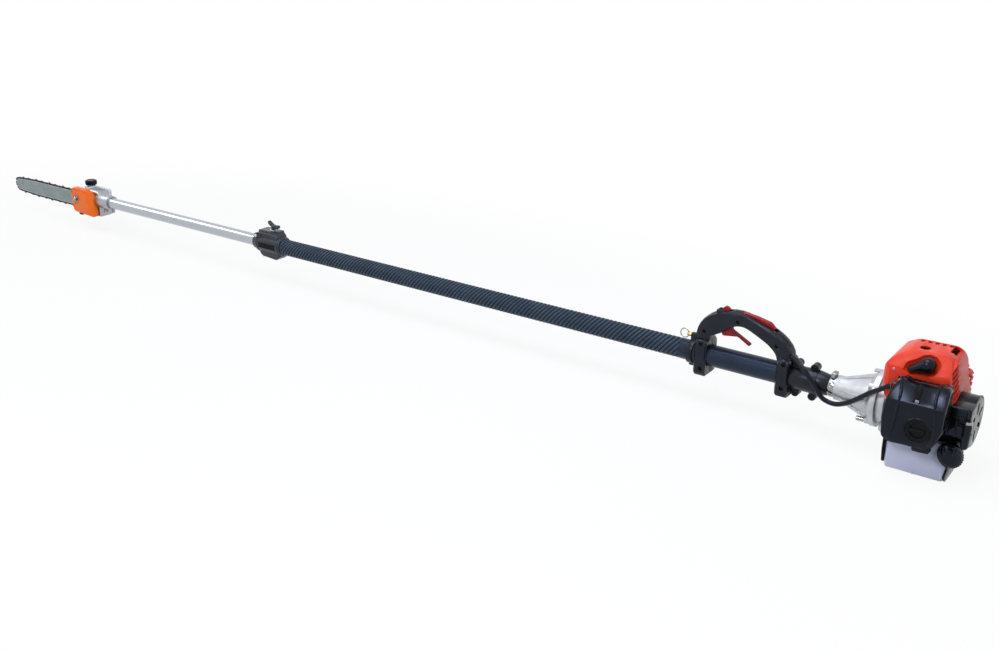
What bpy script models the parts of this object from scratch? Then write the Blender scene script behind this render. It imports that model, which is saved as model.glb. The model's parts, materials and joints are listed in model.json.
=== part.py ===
"""Petrol pole saw: four-stroke engine, loop handle, telescoping pole and saw head.

Units are metres. +X runs along the pole to the saw, +Y is the air cleaner's side and +Z is up.
The origin is on the flat underside of the fuel tank, below the pole's axis.
Positions below are measured from the pole's axis, which is AXIS_HEIGHT above the origin.
"""

import math

import bmesh
import bpy
from mathutils import Matrix, Vector

# Clearances
GAP = 0.0003
RUNNING = 0.0005

# Pole
AXIS_HEIGHT = 0.0965
INNER_TUBE_R = 0.016
INNER_TUBE_WALL = 0.0015
OUTER_TUBE_WALL = 0.0014
SLEEVE_WALL = 0.003
GRIP_TUBE_WALL = 0.004
NECK_FRONT = 0.170
SLEEVE_REAR = 0.4767
SLEEVE_LENGTH = 1.1823
TELESCOPE_OVERLAP = 0.66
HEAD_TUBE_VISIBLE = 0.6425

# Drive line
SHAFT_FLATS = 0.008
DRIVE_TUBE_R = 0.0065
DRUM_R = 0.031
DRUM_LENGTH = 0.026
DRUM_WALL = 0.002

# Telescope clamp
CLAMP_LENGTH = 0.1035
CLAMP_R = 0.0255
CLAMP_BLOCK_WIDTH = 0.036
CLAMP_TOP = 0.0335
CLAMP_BOTTOM = 0.037
KNOB_TILT = math.radians(15)
KNOB_SPAN = 0.042

# Handle
HANDLE_WIDTH = 0.032
LEG_WIDTH = 0.053
LEG_LENGTH = 0.026
LEG_DEPTH = 0.041
REAR_LEG = 0.2704
FRONT_LEG = 0.4434
HANDLE_TOP = 0.1065
HANDLE_BAR = 0.028

# Coupler and collar
COLLAR_LENGTH = 0.011
CONE_LENGTH = 0.024
COUPLER_R = 0.024
LUG_R = 0.0080
LUG_WIDTH = 0.017
LUG_HEIGHT = 0.0292

# Throttle conduit
CONDUIT_R = 0.0047

# Engine
FLANGE_X = 0.084
FLANGE_R = 0.0535
CRANK_X = 0.026
BORE_R = 0.018
FIN_R = 0.029
FIN_STEP = 0.0125
HEAD_Z = 0.098
CRANK_R = 0.006
WEB_R = 0.022
CRANK_THROW = 0.013
HOOD_WALL = 0.0025
HOOD_HALF_WIDTH = 0.056
HOOD_TOP = 0.121
LOUVRE_TILT = math.radians(22)
DISH_MARGIN = 0.0085
STARTER_R = 0.048
STARTER_REAR = -0.0798
STARTER_FRONT = -0.0135
STARTER_WALL = 0.0025
COIL_TOP = 0.064
BRACKET_SIDE = 0.0565
BRACKET_TOP = 0.044
FLYWHEEL_R = 0.040
REEL_R = 0.026
CARB_Z = 0.056
AIRBOX_BACK = 0.066
AIRBOX_FACE = 0.112
CHOKE_X = -0.0108
CHOKE_Z = 0.008
CHOKE_RECESS_R = 0.020

# Fuel tank
TANK_FRONT = 0.0465
TANK_REAR = -0.056
TANK_LEFT = 0.080
TANK_RIGHT = -0.075
TANK_WALL = 0.0025
CAP_R = 0.0235
CAP_HEIGHT = 0.018

# Saw head
CASE_FACE = 0.010
STUD_R = 0.004
GEAR_R = 0.0175
PINION_R = 0.0075
SPROCKET_R = 0.0135
BAR_Y = 0.0145
BAR_THICKNESS = 0.0032
BAR_HALF = 0.0213
BAR_DROP = 0.006
BAR_REACH = 0.322
CHAIN_WIDTH = 0.006
CHAIN_HEIGHT = 0.0062
COVER_LENGTH = 0.104
COVER_DEPTH = 0.020
OIL_CAP_R = 0.017

# Worked out from the sizes above
INNER_TUBE_BORE = INNER_TUBE_R - INNER_TUBE_WALL
OUTER_TUBE_BORE = INNER_TUBE_R + GAP
OUTER_TUBE_R = OUTER_TUBE_BORE + OUTER_TUBE_WALL
SLEEVE_BORE = OUTER_TUBE_R + GAP
SLEEVE_R = SLEEVE_BORE + SLEEVE_WALL
GRIP_TUBE_R = SLEEVE_BORE + GRIP_TUBE_WALL
CLAMP_REAR = SLEEVE_REAR + SLEEVE_LENGTH
CLAMP_FRONT = CLAMP_REAR + CLAMP_LENGTH
OUTER_TUBE_REAR = NECK_FRONT - 0.030
OUTER_TUBE_FRONT = CLAMP_REAR + 0.6 * CLAMP_LENGTH
SOCKET_REAR = CLAMP_FRONT + HEAD_TUBE_VISIBLE
GEAR_X = SOCKET_REAR + 0.087
COVER_REAR = GEAR_X - 0.030
COVER_FRONT = COVER_REAR + COVER_LENGTH
INNER_TUBE_REAR = CLAMP_REAR - TELESCOPE_OVERLAP
INNER_TUBE_FRONT = SOCKET_REAR + 0.050
COLLAR_REAR = NECK_FRONT + 0.0012
CONE_REAR = COLLAR_REAR + COLLAR_LENGTH + GAP
COUPLER_REAR = CONE_REAR + CONE_LENGTH + GAP
COUPLER_FRONT = REAR_LEG - LEG_LENGTH / 2 - GAP
DRUM_REAR = FLANGE_X + 0.008
DRUM_FRONT = DRUM_REAR + DRUM_LENGTH

# Colours
BLACK_PLASTIC = (0.025, 0.028, 0.034)
RED_PLASTIC = (0.80, 0.045, 0.02)
DARK_RED = (0.42, 0.01, 0.015)
ORANGE_PLASTIC = (0.88, 0.13, 0.012)
CAST_ALLOY = (0.62, 0.64, 0.66)
BRIGHT_ALLOY = (0.80, 0.82, 0.85)
STEEL = (0.45, 0.46, 0.48)
DARK_STEEL = (0.06, 0.06, 0.065)
CHROME = (0.85, 0.85, 0.87)
BRASS = (0.72, 0.55, 0.24)
TANK_PLASTIC = (0.72, 0.73, 0.86)
SLEEVE_GREY = (0.030, 0.040, 0.055)
FOAM = (0.75, 0.62, 0.30)
RUBBER = (0.012, 0.012, 0.014)
OIL_PLASTIC = (0.90, 0.90, 0.91)
BAR_GREY = (0.25, 0.28, 0.28)

ACROSS_X = Vector((1, 0, 0))
FRAME = None


def clear_scene():
    for thing in list(bpy.data.objects):
        bpy.data.objects.remove(thing, do_unlink=True)


def paint(name, colour, roughness=0.5, metallic=0.0):
    """A plain material for one sub-part."""
    material = bpy.data.materials.new(name)
    material.use_nodes = True
    shader = material.node_tree.nodes["Principled BSDF"]
    shader.inputs["Base Color"].default_value = (*colour, 1.0)
    shader.inputs["Roughness"].default_value = roughness
    shader.inputs["Metallic"].default_value = metallic
    material.diffuse_color = (*colour, 1.0)
    return material


def solid(name, points, faces, look, at=(0, 0, 0)):
    """A mesh object hung on the pole's axis, with its faces turned outward.

    A solid with no place of its own gets its origin on the pole's axis, level with its middle.
    """
    if not any(at):
        ends = [point[0] for point in points]
        at = ((min(ends) + max(ends)) / 2, 0, 0)
        points = [(point[0] - at[0], point[1], point[2]) for point in points]
    mesh = bpy.data.meshes.new(name)
    mesh.from_pydata([tuple(point) for point in points], [], faces)
    shape = bmesh.new()
    shape.from_mesh(mesh)
    bmesh.ops.recalc_face_normals(shape, faces=shape.faces)
    if shape.calc_volume(signed=True) < 0:
        bmesh.ops.reverse_faces(shape, faces=shape.faces)
    shape.to_mesh(mesh)
    shape.free()
    mesh.shade_smooth()
    mesh.set_sharp_from_angle(angle=math.radians(35))
    thing = bpy.data.objects.new(name, mesh)
    bpy.context.scene.collection.objects.link(thing)
    thing.parent = FRAME
    thing.location = at
    if look is None:
        thing.hide_render = True
        thing.display_type = "WIRE"
    else:
        mesh.materials.append(paint(name, *look))
    return thing


def turned(name, profile, look, at=(0, 0, 0), along="X", segments=20, teeth=0, tooth=0.0):
    """A solid of revolution. The profile's points are (distance along the axis, radius)."""
    if teeth:
        segments = teeth * 4
    points, rings, faces = [], [], []
    for distance, radius in profile:
        first = len(points)
        count = segments if radius > 1e-6 else 1
        for step in range(count):
            angle = math.tau * step / segments
            reach = radius - tooth if radius > 3 * tooth and step % 4 > 1 else radius
            across = (reach * math.cos(angle), reach * math.sin(angle))
            points.append(placed(along, distance, across))
        rings.append(range(first, first + count))
    for low, high in zip(rings, rings[1:] + rings[:1]):
        for step in range(segments):
            after = (step + 1) % segments
            corners = [low[step % len(low)], low[after % len(low)]]
            corners += [high[after % len(high)], high[step % len(high)]]
            corners = list(dict.fromkeys(corners))
            if len(corners) > 2:
                faces.append(corners)
    return solid(name, points, faces, look, at)


def placed(along, distance, across):
    """Puts a distance and two coordinates across it in X, Y, Z order."""
    if along == "X":
        return (distance, across[0], across[1])
    if along == "Y":
        return (across[0], distance, across[1])
    return (across[0], across[1], distance)


def prism(name, outline, low, high, look, along="Y", at=(0, 0, 0)):
    """An outline pulled from low to high along one axis."""
    count = len(outline)
    points = [placed(along, low, point) for point in outline]
    points += [placed(along, high, point) for point in outline]
    faces = [list(range(count)), list(range(count, 2 * count))]
    for step in range(count):
        after = (step + 1) % count
        faces.append([step, after, after + count, step + count])
    return solid(name, points, faces, look, at)


def block(name, low, high, look, at=(0, 0, 0)):
    """A box between two opposite corners."""
    outline = [(low[0], low[2]), (high[0], low[2]), (high[0], high[2]), (low[0], high[2])]
    return prism(name, outline, low[1], high[1], look, at=at)


def rod(name, start, end, radius, look, segments=16):
    """A round bar between two points."""
    start = Vector(start)
    reach = Vector(end) - start
    thing = turned(name, bar_profile(0, reach.length, radius), look, start, segments=segments)
    return aimed(thing, reach)


def bar_profile(start, end, radius):
    return [(start, 0), (start, radius), (end, radius), (end, 0)]


def ring_profile(start, end, bore, radius):
    return [(start, bore), (start, radius), (end, radius), (end, bore)]


def aimed(thing, direction):
    thing.rotation_mode = "QUATERNION"
    thing.rotation_quaternion = ACROSS_X.rotation_difference(Vector(direction).normalized())
    return thing


def filleted(outline, radius, steps=2):
    """Rounds each corner with a short curve between points at the given distance from it."""
    rounded = []
    count = len(outline)
    for step, corner in enumerate(outline):
        here = Vector(corner)
        before = Vector(outline[step - 1]) - here
        after = Vector(outline[(step + 1) % count]) - here
        reach = min(radius, 0.45 * before.length, 0.45 * after.length)
        start = here + before.normalized() * reach
        end = here + after.normalized() * reach
        for part in range(steps + 1):
            t = part / steps
            rounded.append(tuple(start * (1 - t) ** 2 + here * 2 * t * (1 - t) + end * t**2))
    return rounded


def arc(centre, radius, start, end, steps):
    """Points on an arc, with its angles in degrees from the first axis to the second."""
    angles = [math.radians(start + (end - start) * step / steps) for step in range(steps + 1)]
    return [(centre[0] + radius * math.cos(a), centre[1] + radius * math.sin(a)) for a in angles]


def bevelled(thing, width, segments=1):
    modifier = thing.modifiers.new("Bevel", "BEVEL")
    modifier.width = width
    modifier.segments = segments
    modifier.limit_method = "ANGLE"
    modifier.angle_limit = math.radians(40)
    return thing


def combined(thing, operation, others):
    for other in others:
        modifier = thing.modifiers.new(operation.title(), "BOOLEAN")
        modifier.operation = operation
        modifier.object = other
    return thing


def cut(thing, *others):
    return combined(thing, "DIFFERENCE", others)


def joined(thing, *others):
    return combined(thing, "UNION", others)


def half_space(name, side):
    """A large helper that removes what lies beyond the seam in the pole's vertical plane."""
    seam = side * GAP / 2
    return block(name, (-0.2, min(seam, -side * 0.3), -0.2), (0.8, max(seam, -side * 0.3), 0.3), None)


def pole():
    outer = ring_profile(OUTER_TUBE_REAR, OUTER_TUBE_FRONT, OUTER_TUBE_BORE, OUTER_TUBE_R)
    turned("outer_tube", outer, (BRIGHT_ALLOY, 0.3, 1.0), segments=30)
    sleeve = ring_profile(SLEEVE_REAR + GAP, CLAMP_REAR - GAP, SLEEVE_BORE, SLEEVE_R)
    turned("pole_sleeve", sleeve, (SLEEVE_GREY, 0.5), segments=30)
    grip = ring_profile(COUPLER_FRONT + GAP, SLEEVE_REAR, SLEEVE_BORE, GRIP_TUBE_R)
    turned("grip_tube", grip, (SLEEVE_GREY, 0.4), segments=30)
    inner = ring_profile(INNER_TUBE_REAR, INNER_TUBE_FRONT, INNER_TUBE_BORE, INNER_TUBE_R)
    turned("inner_tube", inner, (BRIGHT_ALLOY, 0.25, 1.0), segments=30)


def drive_line():
    """Clutch drum, drive tube, the hexagonal shaft that slides in it and their bushings."""
    flats = SHAFT_FLATS / 2 / math.cos(math.pi / 6)
    hub_r = DRIVE_TUBE_R + 0.0015
    hub_front = DRUM_FRONT + 0.022
    tube_front = CLAMP_REAR - 0.06
    drum = [(hub_front, 0), (hub_front, hub_r), (DRUM_FRONT, hub_r), (DRUM_FRONT, DRUM_R)]
    drum += [(DRUM_REAR, DRUM_R), (DRUM_REAR, DRUM_R - DRUM_WALL)]
    drum += [(DRUM_FRONT - DRUM_WALL, DRUM_R - DRUM_WALL), (DRUM_FRONT - DRUM_WALL, 0)]
    turned("clutch_drum", drum, (STEEL, 0.4, 1.0))
    tube = turned("drive_tube", bar_profile(hub_front + GAP, tube_front, DRIVE_TUBE_R), (STEEL, 0.4, 1.0),
                  segments=20)
    cut(tube, turned("hexagonal_bore", bar_profile(hub_front - 0.01, tube_front + 0.01, flats + RUNNING),
                     None, segments=6))
    shaft = turned("drive_shaft", bar_profile(INNER_TUBE_REAR - 0.02, GEAR_X - GEAR_R + 0.002, flats),
                   (STEEL, 0.35, 1.0), segments=6)
    slope = PINION_R / GEAR_R
    tip = GEAR_R - 0.005
    pinion = [(GEAR_X - 0.0297, 0), (GEAR_X - 0.0297, PINION_R), (GEAR_X - GEAR_R, PINION_R)]
    pinion += [(GEAR_X - tip, tip * slope), (GEAR_X - tip, 0)]
    joined(shaft, turned("bevel_pinion", pinion, None, teeth=6, tooth=0.0014))
    rear = hub_front + 0.08
    ring = ring_profile(rear, rear + 0.022, DRIVE_TUBE_R + GAP, OUTER_TUBE_BORE - GAP)
    turned("drive_tube_bushing", ring, (BRASS, 0.5, 1.0), segments=20)
    front = SOCKET_REAR - 0.04
    ring = ring_profile(front, front + 0.022, flats + GAP, INNER_TUBE_BORE - GAP)
    turned("drive_shaft_bushing", ring, (BRASS, 0.5, 1.0), segments=20)


def telescope_clamp():
    """Clamp with its knob, which locks the inner tube in the outer one."""
    step = OUTER_TUBE_FRONT + GAP
    lip = CLAMP_FRONT - 0.011
    lip_r = INNER_TUBE_R + 0.005
    profile = [(CLAMP_REAR, 0), (CLAMP_REAR, CLAMP_R - 0.002), (CLAMP_REAR + 0.006, CLAMP_R)]
    profile += [(lip - 0.004, CLAMP_R), (lip, lip_r), (CLAMP_FRONT, lip_r), (CLAMP_FRONT, 0)]
    body = turned("clamp_body", profile, (BLACK_PLASTIC, 0.5), segments=30)
    half = CLAMP_BLOCK_WIDTH / 2
    top = [(CLAMP_REAR + 0.008, 0.012), (lip - 0.004, 0.012), (lip - 0.004, CLAMP_TOP - 0.006)]
    top += [(lip - 0.016, CLAMP_TOP), (CLAMP_REAR + 0.014, CLAMP_TOP), (CLAMP_REAR + 0.008, CLAMP_TOP - 0.008)]
    jaw = [(CLAMP_REAR + 0.004, -0.012), (lip - 0.010, -0.012), (lip - 0.012, -0.027)]
    jaw += [(lip - 0.020, -0.033), (CLAMP_REAR + 0.020, -CLAMP_BOTTOM), (CLAMP_REAR + 0.005, -0.025)]
    upper = bevelled(prism("clamp_upper_block", filleted(top, 0.004), -half, half, None), 0.003)
    lower = bevelled(prism("clamp_lower_block", filleted(jaw, 0.004), -half, half, None), 0.003)
    plate = [(CLAMP_REAR + 0.014, CLAMP_TOP - 0.004), (lip - 0.012, CLAMP_TOP - 0.004)]
    plate += [(lip - 0.013, CLAMP_TOP + 0.005), (CLAMP_REAR + 0.018, CLAMP_TOP + 0.005)]
    strap = prism("clamp_strap", filleted(plate, 0.0015), -half + 0.002, half - 0.002, None)
    head = turned("clamp_bolt", bar_profile(-0.002, 0.004, 0.0042), None,
                  (CLAMP_FRONT - 0.031, half, CLAMP_TOP - 0.010), along="Y", segments=16)
    joined(body, upper, lower, strap, head)
    bore = turned("clamp_bore", bar_profile(CLAMP_REAR - 0.01, step, SLEEVE_BORE), None, segments=30)
    through = turned("clamp_through", bar_profile(step - 0.01, CLAMP_FRONT + 0.01, OUTER_TUBE_BORE), None,
                     segments=30)
    axis = Vector((-math.sin(KNOB_TILT), 0, math.cos(KNOB_TILT)))
    base = Vector((CLAMP_REAR + 0.046, 0, OUTER_TUBE_R + 0.0015))
    stud_r = 0.0042
    stud_hole = rod("clamp_stud_hole", base - axis * 0.006, base + axis * 0.04, stud_r + GAP, None)
    cut(body, bore, through, stud_hole)
    knob = [(0, 0), (0, stud_r), (0.026, stud_r), (0.026, 0.0075), (0.034, 0.0065), (0.038, 0)]
    knob = aimed(turned("clamp_knob", knob, (BLACK_PLASTIC, 0.35), base, segments=20), axis)
    reach = KNOB_SPAN / 2
    wing = [(-reach, 0.036), (0.006 - reach, 0.030), (0, 0.028), (reach - 0.006, 0.030), (reach, 0.036)]
    wing += [(reach - 0.002, 0.042), (0, 0.036), (0.002 - reach, 0.042)]
    upright = [(height, -across) for across, height in filleted(wing, 0.004)]
    wings = bevelled(prism("clamp_wings", upright, -0.0048, 0.0048, None, at=base), 0.0015)
    joined(knob, aimed(wings, axis))


def handle():
    """Two shells closed round the grip tube, with the trigger, lockout lever and stop switch."""
    low = HANDLE_TOP - HANDLE_BAR
    outer = [(FRONT_LEG + 0.013, 0.0), (FRONT_LEG + 0.019, 0.047), (FRONT_LEG + 0.011, 0.070),
             (FRONT_LEG - 0.004, 0.088), (FRONT_LEG - 0.024, 0.098), (FRONT_LEG - 0.058, HANDLE_TOP),
             (FRONT_LEG - 0.082, HANDLE_TOP - 0.001), (0.298, 0.0845), (0.2745, 0.0695),
             (0.2585, 0.0490), (REAR_LEG - 0.013, 0.0)]
    inner = [(REAR_LEG + 0.013, 0.0), (0.289, 0.030), (0.293, 0.041), (0.308, 0.055), (0.336, 0.069),
             (0.357, low), (0.375, low), (0.390, 0.071), (0.409, 0.055), (0.428, 0.046),
             (FRONT_LEG - 0.013, 0.034)]
    tube = turned("handle_bore", bar_profile(0.2, 0.5, GRIP_TUBE_R + GAP), None, segments=30)
    trigger_slot = block("trigger_slot", (0.345, -0.0068, 0.040), (0.421, 0.0068, HANDLE_TOP - 0.013), None)
    lever_slot = prism("lever_slot", [(0.3705, 0.112), (0.3705, 0.0985), (0.2955, 0.073),
                                      (0.2955, 0.094), (0.310, 0.108)], -0.0058, 0.0058, None)
    switch_slot = block("switch_slot", (0.3915, -0.0052, 0.0965), (0.4175, 0.0052, 0.120), None)
    switch_plate = bevelled(block("switch_plate", (0.387, -0.0090, 0.088), (0.422, 0.0090, 0.1030), None), 0.001)
    socket = rod("conduit_socket", (0.240, 0.0104, 0.0412), (0.2630, 0.0104, 0.0412), CONDUIT_R + 0.0010,
                 None)
    pivot = (0.409, 0.0, 0.078)
    pin_hole = rod("trigger_pin_hole", (pivot[0], -0.0145, pivot[2]), (pivot[0], 0.0145, pivot[2]), 0.0022,
                   None)
    for side, word in ((1, "left"), (-1, "right")):
        loop = prism(f"handle_{word}", filleted(outer + inner, 0.018), -HANDLE_WIDTH / 2, HANDLE_WIDTH / 2,
                     (BLACK_PLASTIC, 0.45))
        bevelled(loop, 0.007, 2)
        legs = []
        for place, at in (("rear", REAR_LEG), ("front", FRONT_LEG)):
            leg = [(-LEG_WIDTH / 2, -LEG_DEPTH), (LEG_WIDTH / 2, -LEG_DEPTH), (LEG_WIDTH / 2, 0.030)]
            leg += [(HANDLE_WIDTH / 2, 0.040), (-HANDLE_WIDTH / 2, 0.040), (-LEG_WIDTH / 2, 0.030)]
            piece = prism(f"{word}_{place}_leg", filleted(leg, 0.010), at - LEG_LENGTH / 2,
                          at + LEG_LENGTH / 2, None, along="X")
            legs.append(bevelled(piece, 0.003))
        joined(loop, *legs, switch_plate)
        cut(loop, tube, trigger_slot, lever_slot, switch_slot, half_space(f"{word}_seam", side))
        if side > 0:
            cut(loop, socket)
            joined(loop, turned("trigger_pin", bar_profile(-0.0142, 0.009, 0.0019), None, pivot, along="Y",
                                segments=16))
        else:
            cut(loop, pin_hole)
    trigger = [(0.416, 0.084), (0.402, 0.0885), (0.390, 0.078), (0.388, 0.0655), (0.3472, 0.0436)]
    trigger += [(0.3498, 0.0397), (0.3748, 0.0545), (0.4076, 0.0495)]
    moved = [(x - pivot[0], z - pivot[2]) for x, z in filleted(trigger, 0.003)]
    piece = bevelled(prism("throttle_trigger", moved, -0.006, 0.006, (DARK_RED, 0.35), at=pivot), 0.0015)
    cut(piece, pin_hole)
    lever = [(0.3695, 0.1068), (0.3400, 0.1040), (0.3100, 0.0973), (0.3000, 0.0872), (0.3030, 0.0835)]
    lever += [(0.3400, 0.0960), (0.3695, 0.1035)]
    hinge = (0.367, 0.0, 0.1050)
    moved = [(x - hinge[0], z - hinge[2]) for x, z in filleted(lever, 0.003)]
    bevelled(prism("lockout_lever", moved, -0.005, 0.005, (DARK_RED, 0.35), at=hinge), 0.001)
    slider = [(-0.008, 0.0970), (0.008, 0.0970), (0.008, 0.1050), (0.002, 0.1110), (-0.003, 0.1100)]
    slider += [(-0.008, 0.1060)]
    prism("stop_switch", filleted(slider, 0.001), -0.0048, 0.0048, (DARK_RED, 0.35), at=(0.4045, 0, 0))


def harness_hanger():
    """Band round the grip tube, its swivel and the carabiner ring for a shoulder strap."""
    rear = FRONT_LEG + LEG_LENGTH / 2 + 0.0065
    front = rear + 0.0125
    band_r = GRIP_TUBE_R + 0.0035
    band = turned("harness_band", ring_profile(rear, front, GRIP_TUBE_R + GAP, band_r),
                  (BLACK_PLASTIC, 0.4), segments=30)
    lug = bevelled(block("harness_lug", (rear, -0.005, GRIP_TUBE_R + 0.001), (front, 0.005, 0.0395), None),
                   0.001)
    foot = bevelled(block("harness_foot", (rear, -0.006, -0.030), (front, 0.006, -GRIP_TUBE_R - 0.001),
                          None), 0.001)
    swivel_z = 0.0345
    hole = rod("swivel_hole", (rear - 0.001, 0, swivel_z), (front + 0.01, 0, swivel_z), 0.0023, None)
    joined(band, lug, foot)
    cut(band, hole)
    swivel = turned("harness_swivel", [(-0.0125, 0), (-0.0125, 0.0020), (GAP, 0.0020), (GAP, 0.0042),
                                       (0.0075, 0.0042), (0.0090, 0.0030), (0.0090, 0)],
                    (BRASS, 0.3, 1.0), (front, 0, swivel_z), segments=20)
    ring_r = 0.0095
    wire = 0.0012
    eye_x = front + 0.0062
    eye = rod("swivel_eye", (eye_x + 0.0004, 0, swivel_z - 0.01), (eye_x + 0.0004, 0, swivel_z + 0.01), 0.0021,
              None, segments=12)
    cut(swivel, eye)
    turns = [math.tau * step / 6 for step in range(6)]
    ring = [(wire * math.cos(turn), ring_r + wire * math.sin(turn)) for turn in turns]
    turned("harness_ring", ring, (CHROME, 0.15, 1.0), (eye_x + ring_r, 0, swivel_z), along="Y")


def coupler():
    """Split sleeve between the pole and the engine, its rubber cone and the steel collar."""
    barrel = bar_profile(COUPLER_REAR, COUPLER_FRONT, COUPLER_R)
    for side, word in ((1, "left"), (-1, "right")):
        shell = turned(f"coupler_{word}", barrel, (BLACK_PLASTIC, 0.45), segments=30)
        lugs = []
        for x in (COUPLER_FRONT - 0.0092, COUPLER_REAR + 0.0072):
            for up in (1, -1):
                lug = turned(f"{word}_lug", bar_profile(-LUG_WIDTH / 2, LUG_WIDTH / 2, LUG_R), None,
                             (x, 0, up * LUG_HEIGHT), along="Y", segments=20)
                neck = block(f"{word}_lug_neck", (x - LUG_R * 0.7, 0.0005 - LUG_WIDTH / 2, up * 0.020),
                             (x + LUG_R * 0.7, LUG_WIDTH / 2 - 0.0005, up * LUG_HEIGHT), None)
                lugs += [lug, neck]
        joined(shell, *lugs)
        bore = turned(f"{word}_coupler_bore", bar_profile(0.1, 0.3, SLEEVE_BORE), None, segments=30)
        cut(shell, bore, half_space(f"{word}_coupler_seam", side))
    cone = [(CONE_REAR, SLEEVE_BORE), (CONE_REAR, SLEEVE_BORE + 0.0016), (COUPLER_REAR - GAP, COUPLER_R)]
    cone += [(COUPLER_REAR - GAP, SLEEVE_BORE)]
    turned("coupler_cone", cone, (RUBBER, 0.6), segments=30)
    end = COLLAR_REAR + COLLAR_LENGTH
    collar = turned("neck_collar", ring_profile(COLLAR_REAR, end, SLEEVE_BORE, SLEEVE_BORE + 0.0025),
                    (CHROME, 0.2, 1.0), segments=30)
    ear = bevelled(block("collar_ears", (COLLAR_REAR + 0.001, -0.0085, 0.0188), (end - 0.001, 0.0085, 0.029),
                         None), 0.001)
    slit = block("collar_slit", (COLLAR_REAR - 0.01, -0.001, 0.010), (end + 0.01, 0.001, 0.04), None)
    middle = (COLLAR_REAR + end) / 2
    joined(collar, ear)
    cut(collar, slit)
    joined(collar, turned("collar_bolt", [(-0.0105, 0), (-0.0105, 0.002), (0.0080, 0.002), (0.0080, 0.0035),
                                          (0.0120, 0.0035), (0.0120, 0)], None, (middle, 0, 0.0245),
                          along="Y", segments=12))


def smooth_route(points, steps):
    """A Catmull-Rom curve through the route's points."""
    ends = [points[0] * 2 - points[1]] + points + [points[-1] * 2 - points[-2]]
    route = []
    for first, start, end, last in zip(ends, ends[1:], ends[2:], ends[3:]):
        for step in range(steps):
            t = step / steps
            route.append(0.5 * (2 * start + (end - first) * t
                                + (2 * first - 5 * start + 4 * end - last) * t**2
                                + (3 * start - first - 3 * end + last) * t**3))
    return route + [points[-1]]


def hose(name, points, radius, look, steps=3):
    """A round hose along a smooth route."""
    route = smooth_route([Vector(point) for point in points], steps)
    curve = bpy.data.curves.new(name, "CURVE")
    curve.dimensions = "3D"
    curve.bevel_depth = radius
    curve.bevel_resolution = 2
    curve.use_fill_caps = True
    spline = curve.splines.new("POLY")
    spline.points.add(len(route) - 1)
    for point, place in zip(spline.points, route):
        point.co = (*place, 1)
    thing = bpy.data.objects.new(name, curve)
    bpy.context.scene.collection.objects.link(thing)
    thing.parent = FRAME
    curve.materials.append(paint(name, *look))
    return thing


def throttle_conduit():
    route = [(0.2625, 0.0100, 0.0412), (0.2560, 0.0108, 0.0412), (0.2490, 0.0142, 0.0408),
             (0.2386, 0.0225, 0.0375), (0.2236, 0.0300, 0.0285),
             (0.2010, 0.0310, 0.0035), (0.1858, 0.0310, -0.0150), (0.1639, 0.0310, -0.0207),
             (0.1439, 0.0355, -0.0134), (0.1249, 0.0430, 0.0005), (0.0910, 0.0560, 0.0317),
             (0.0739, 0.0625, 0.0448), (0.0660, 0.0640, 0.0515), (0.0610, 0.0650, 0.0545),
             (0.0570, 0.0652, 0.0552)]
    hose("throttle_conduit", route, CONDUIT_R, (RUBBER, 0.45))


def clutch_housing():
    neck_r = OUTER_TUBE_R + 0.0062
    bore = OUTER_TUBE_R + GAP
    profile = [(NECK_FRONT, bore), (NECK_FRONT, neck_r), (NECK_FRONT - 0.013, neck_r + 0.0004)]
    profile += [(FLANGE_X + 0.019, 0.0440), (FLANGE_X + 0.0125, FLANGE_R - 0.003), (FLANGE_X + 0.010, FLANGE_R)]
    profile += [(FLANGE_X, FLANGE_R), (FLANGE_X, 0.046), (FLANGE_X + 0.005, 0.036)]
    profile += [(DRUM_FRONT + 0.0025, DRUM_R + 0.0025), (DRUM_FRONT + 0.0065, bore)]
    housing = turned("clutch_housing", profile, (CAST_ALLOY, 0.5, 0.6), segments=30)
    bosses = []
    reach = 0.0485 * math.sqrt(0.5)
    for y in (-reach, reach):
        for z in (-reach, reach):
            bosses.append(turned("flange_boss", bar_profile(FLANGE_X + 0.004, FLANGE_X + 0.017, 0.006), None,
                                 (0, y, z), segments=10))
    head = turned("housing_bolt", bar_profile(FLANGE_X + 0.015, FLANGE_X + 0.022, 0.0045), None,
                  (0, reach, -reach), segments=16)
    joined(housing, *bosses, head)


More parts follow.
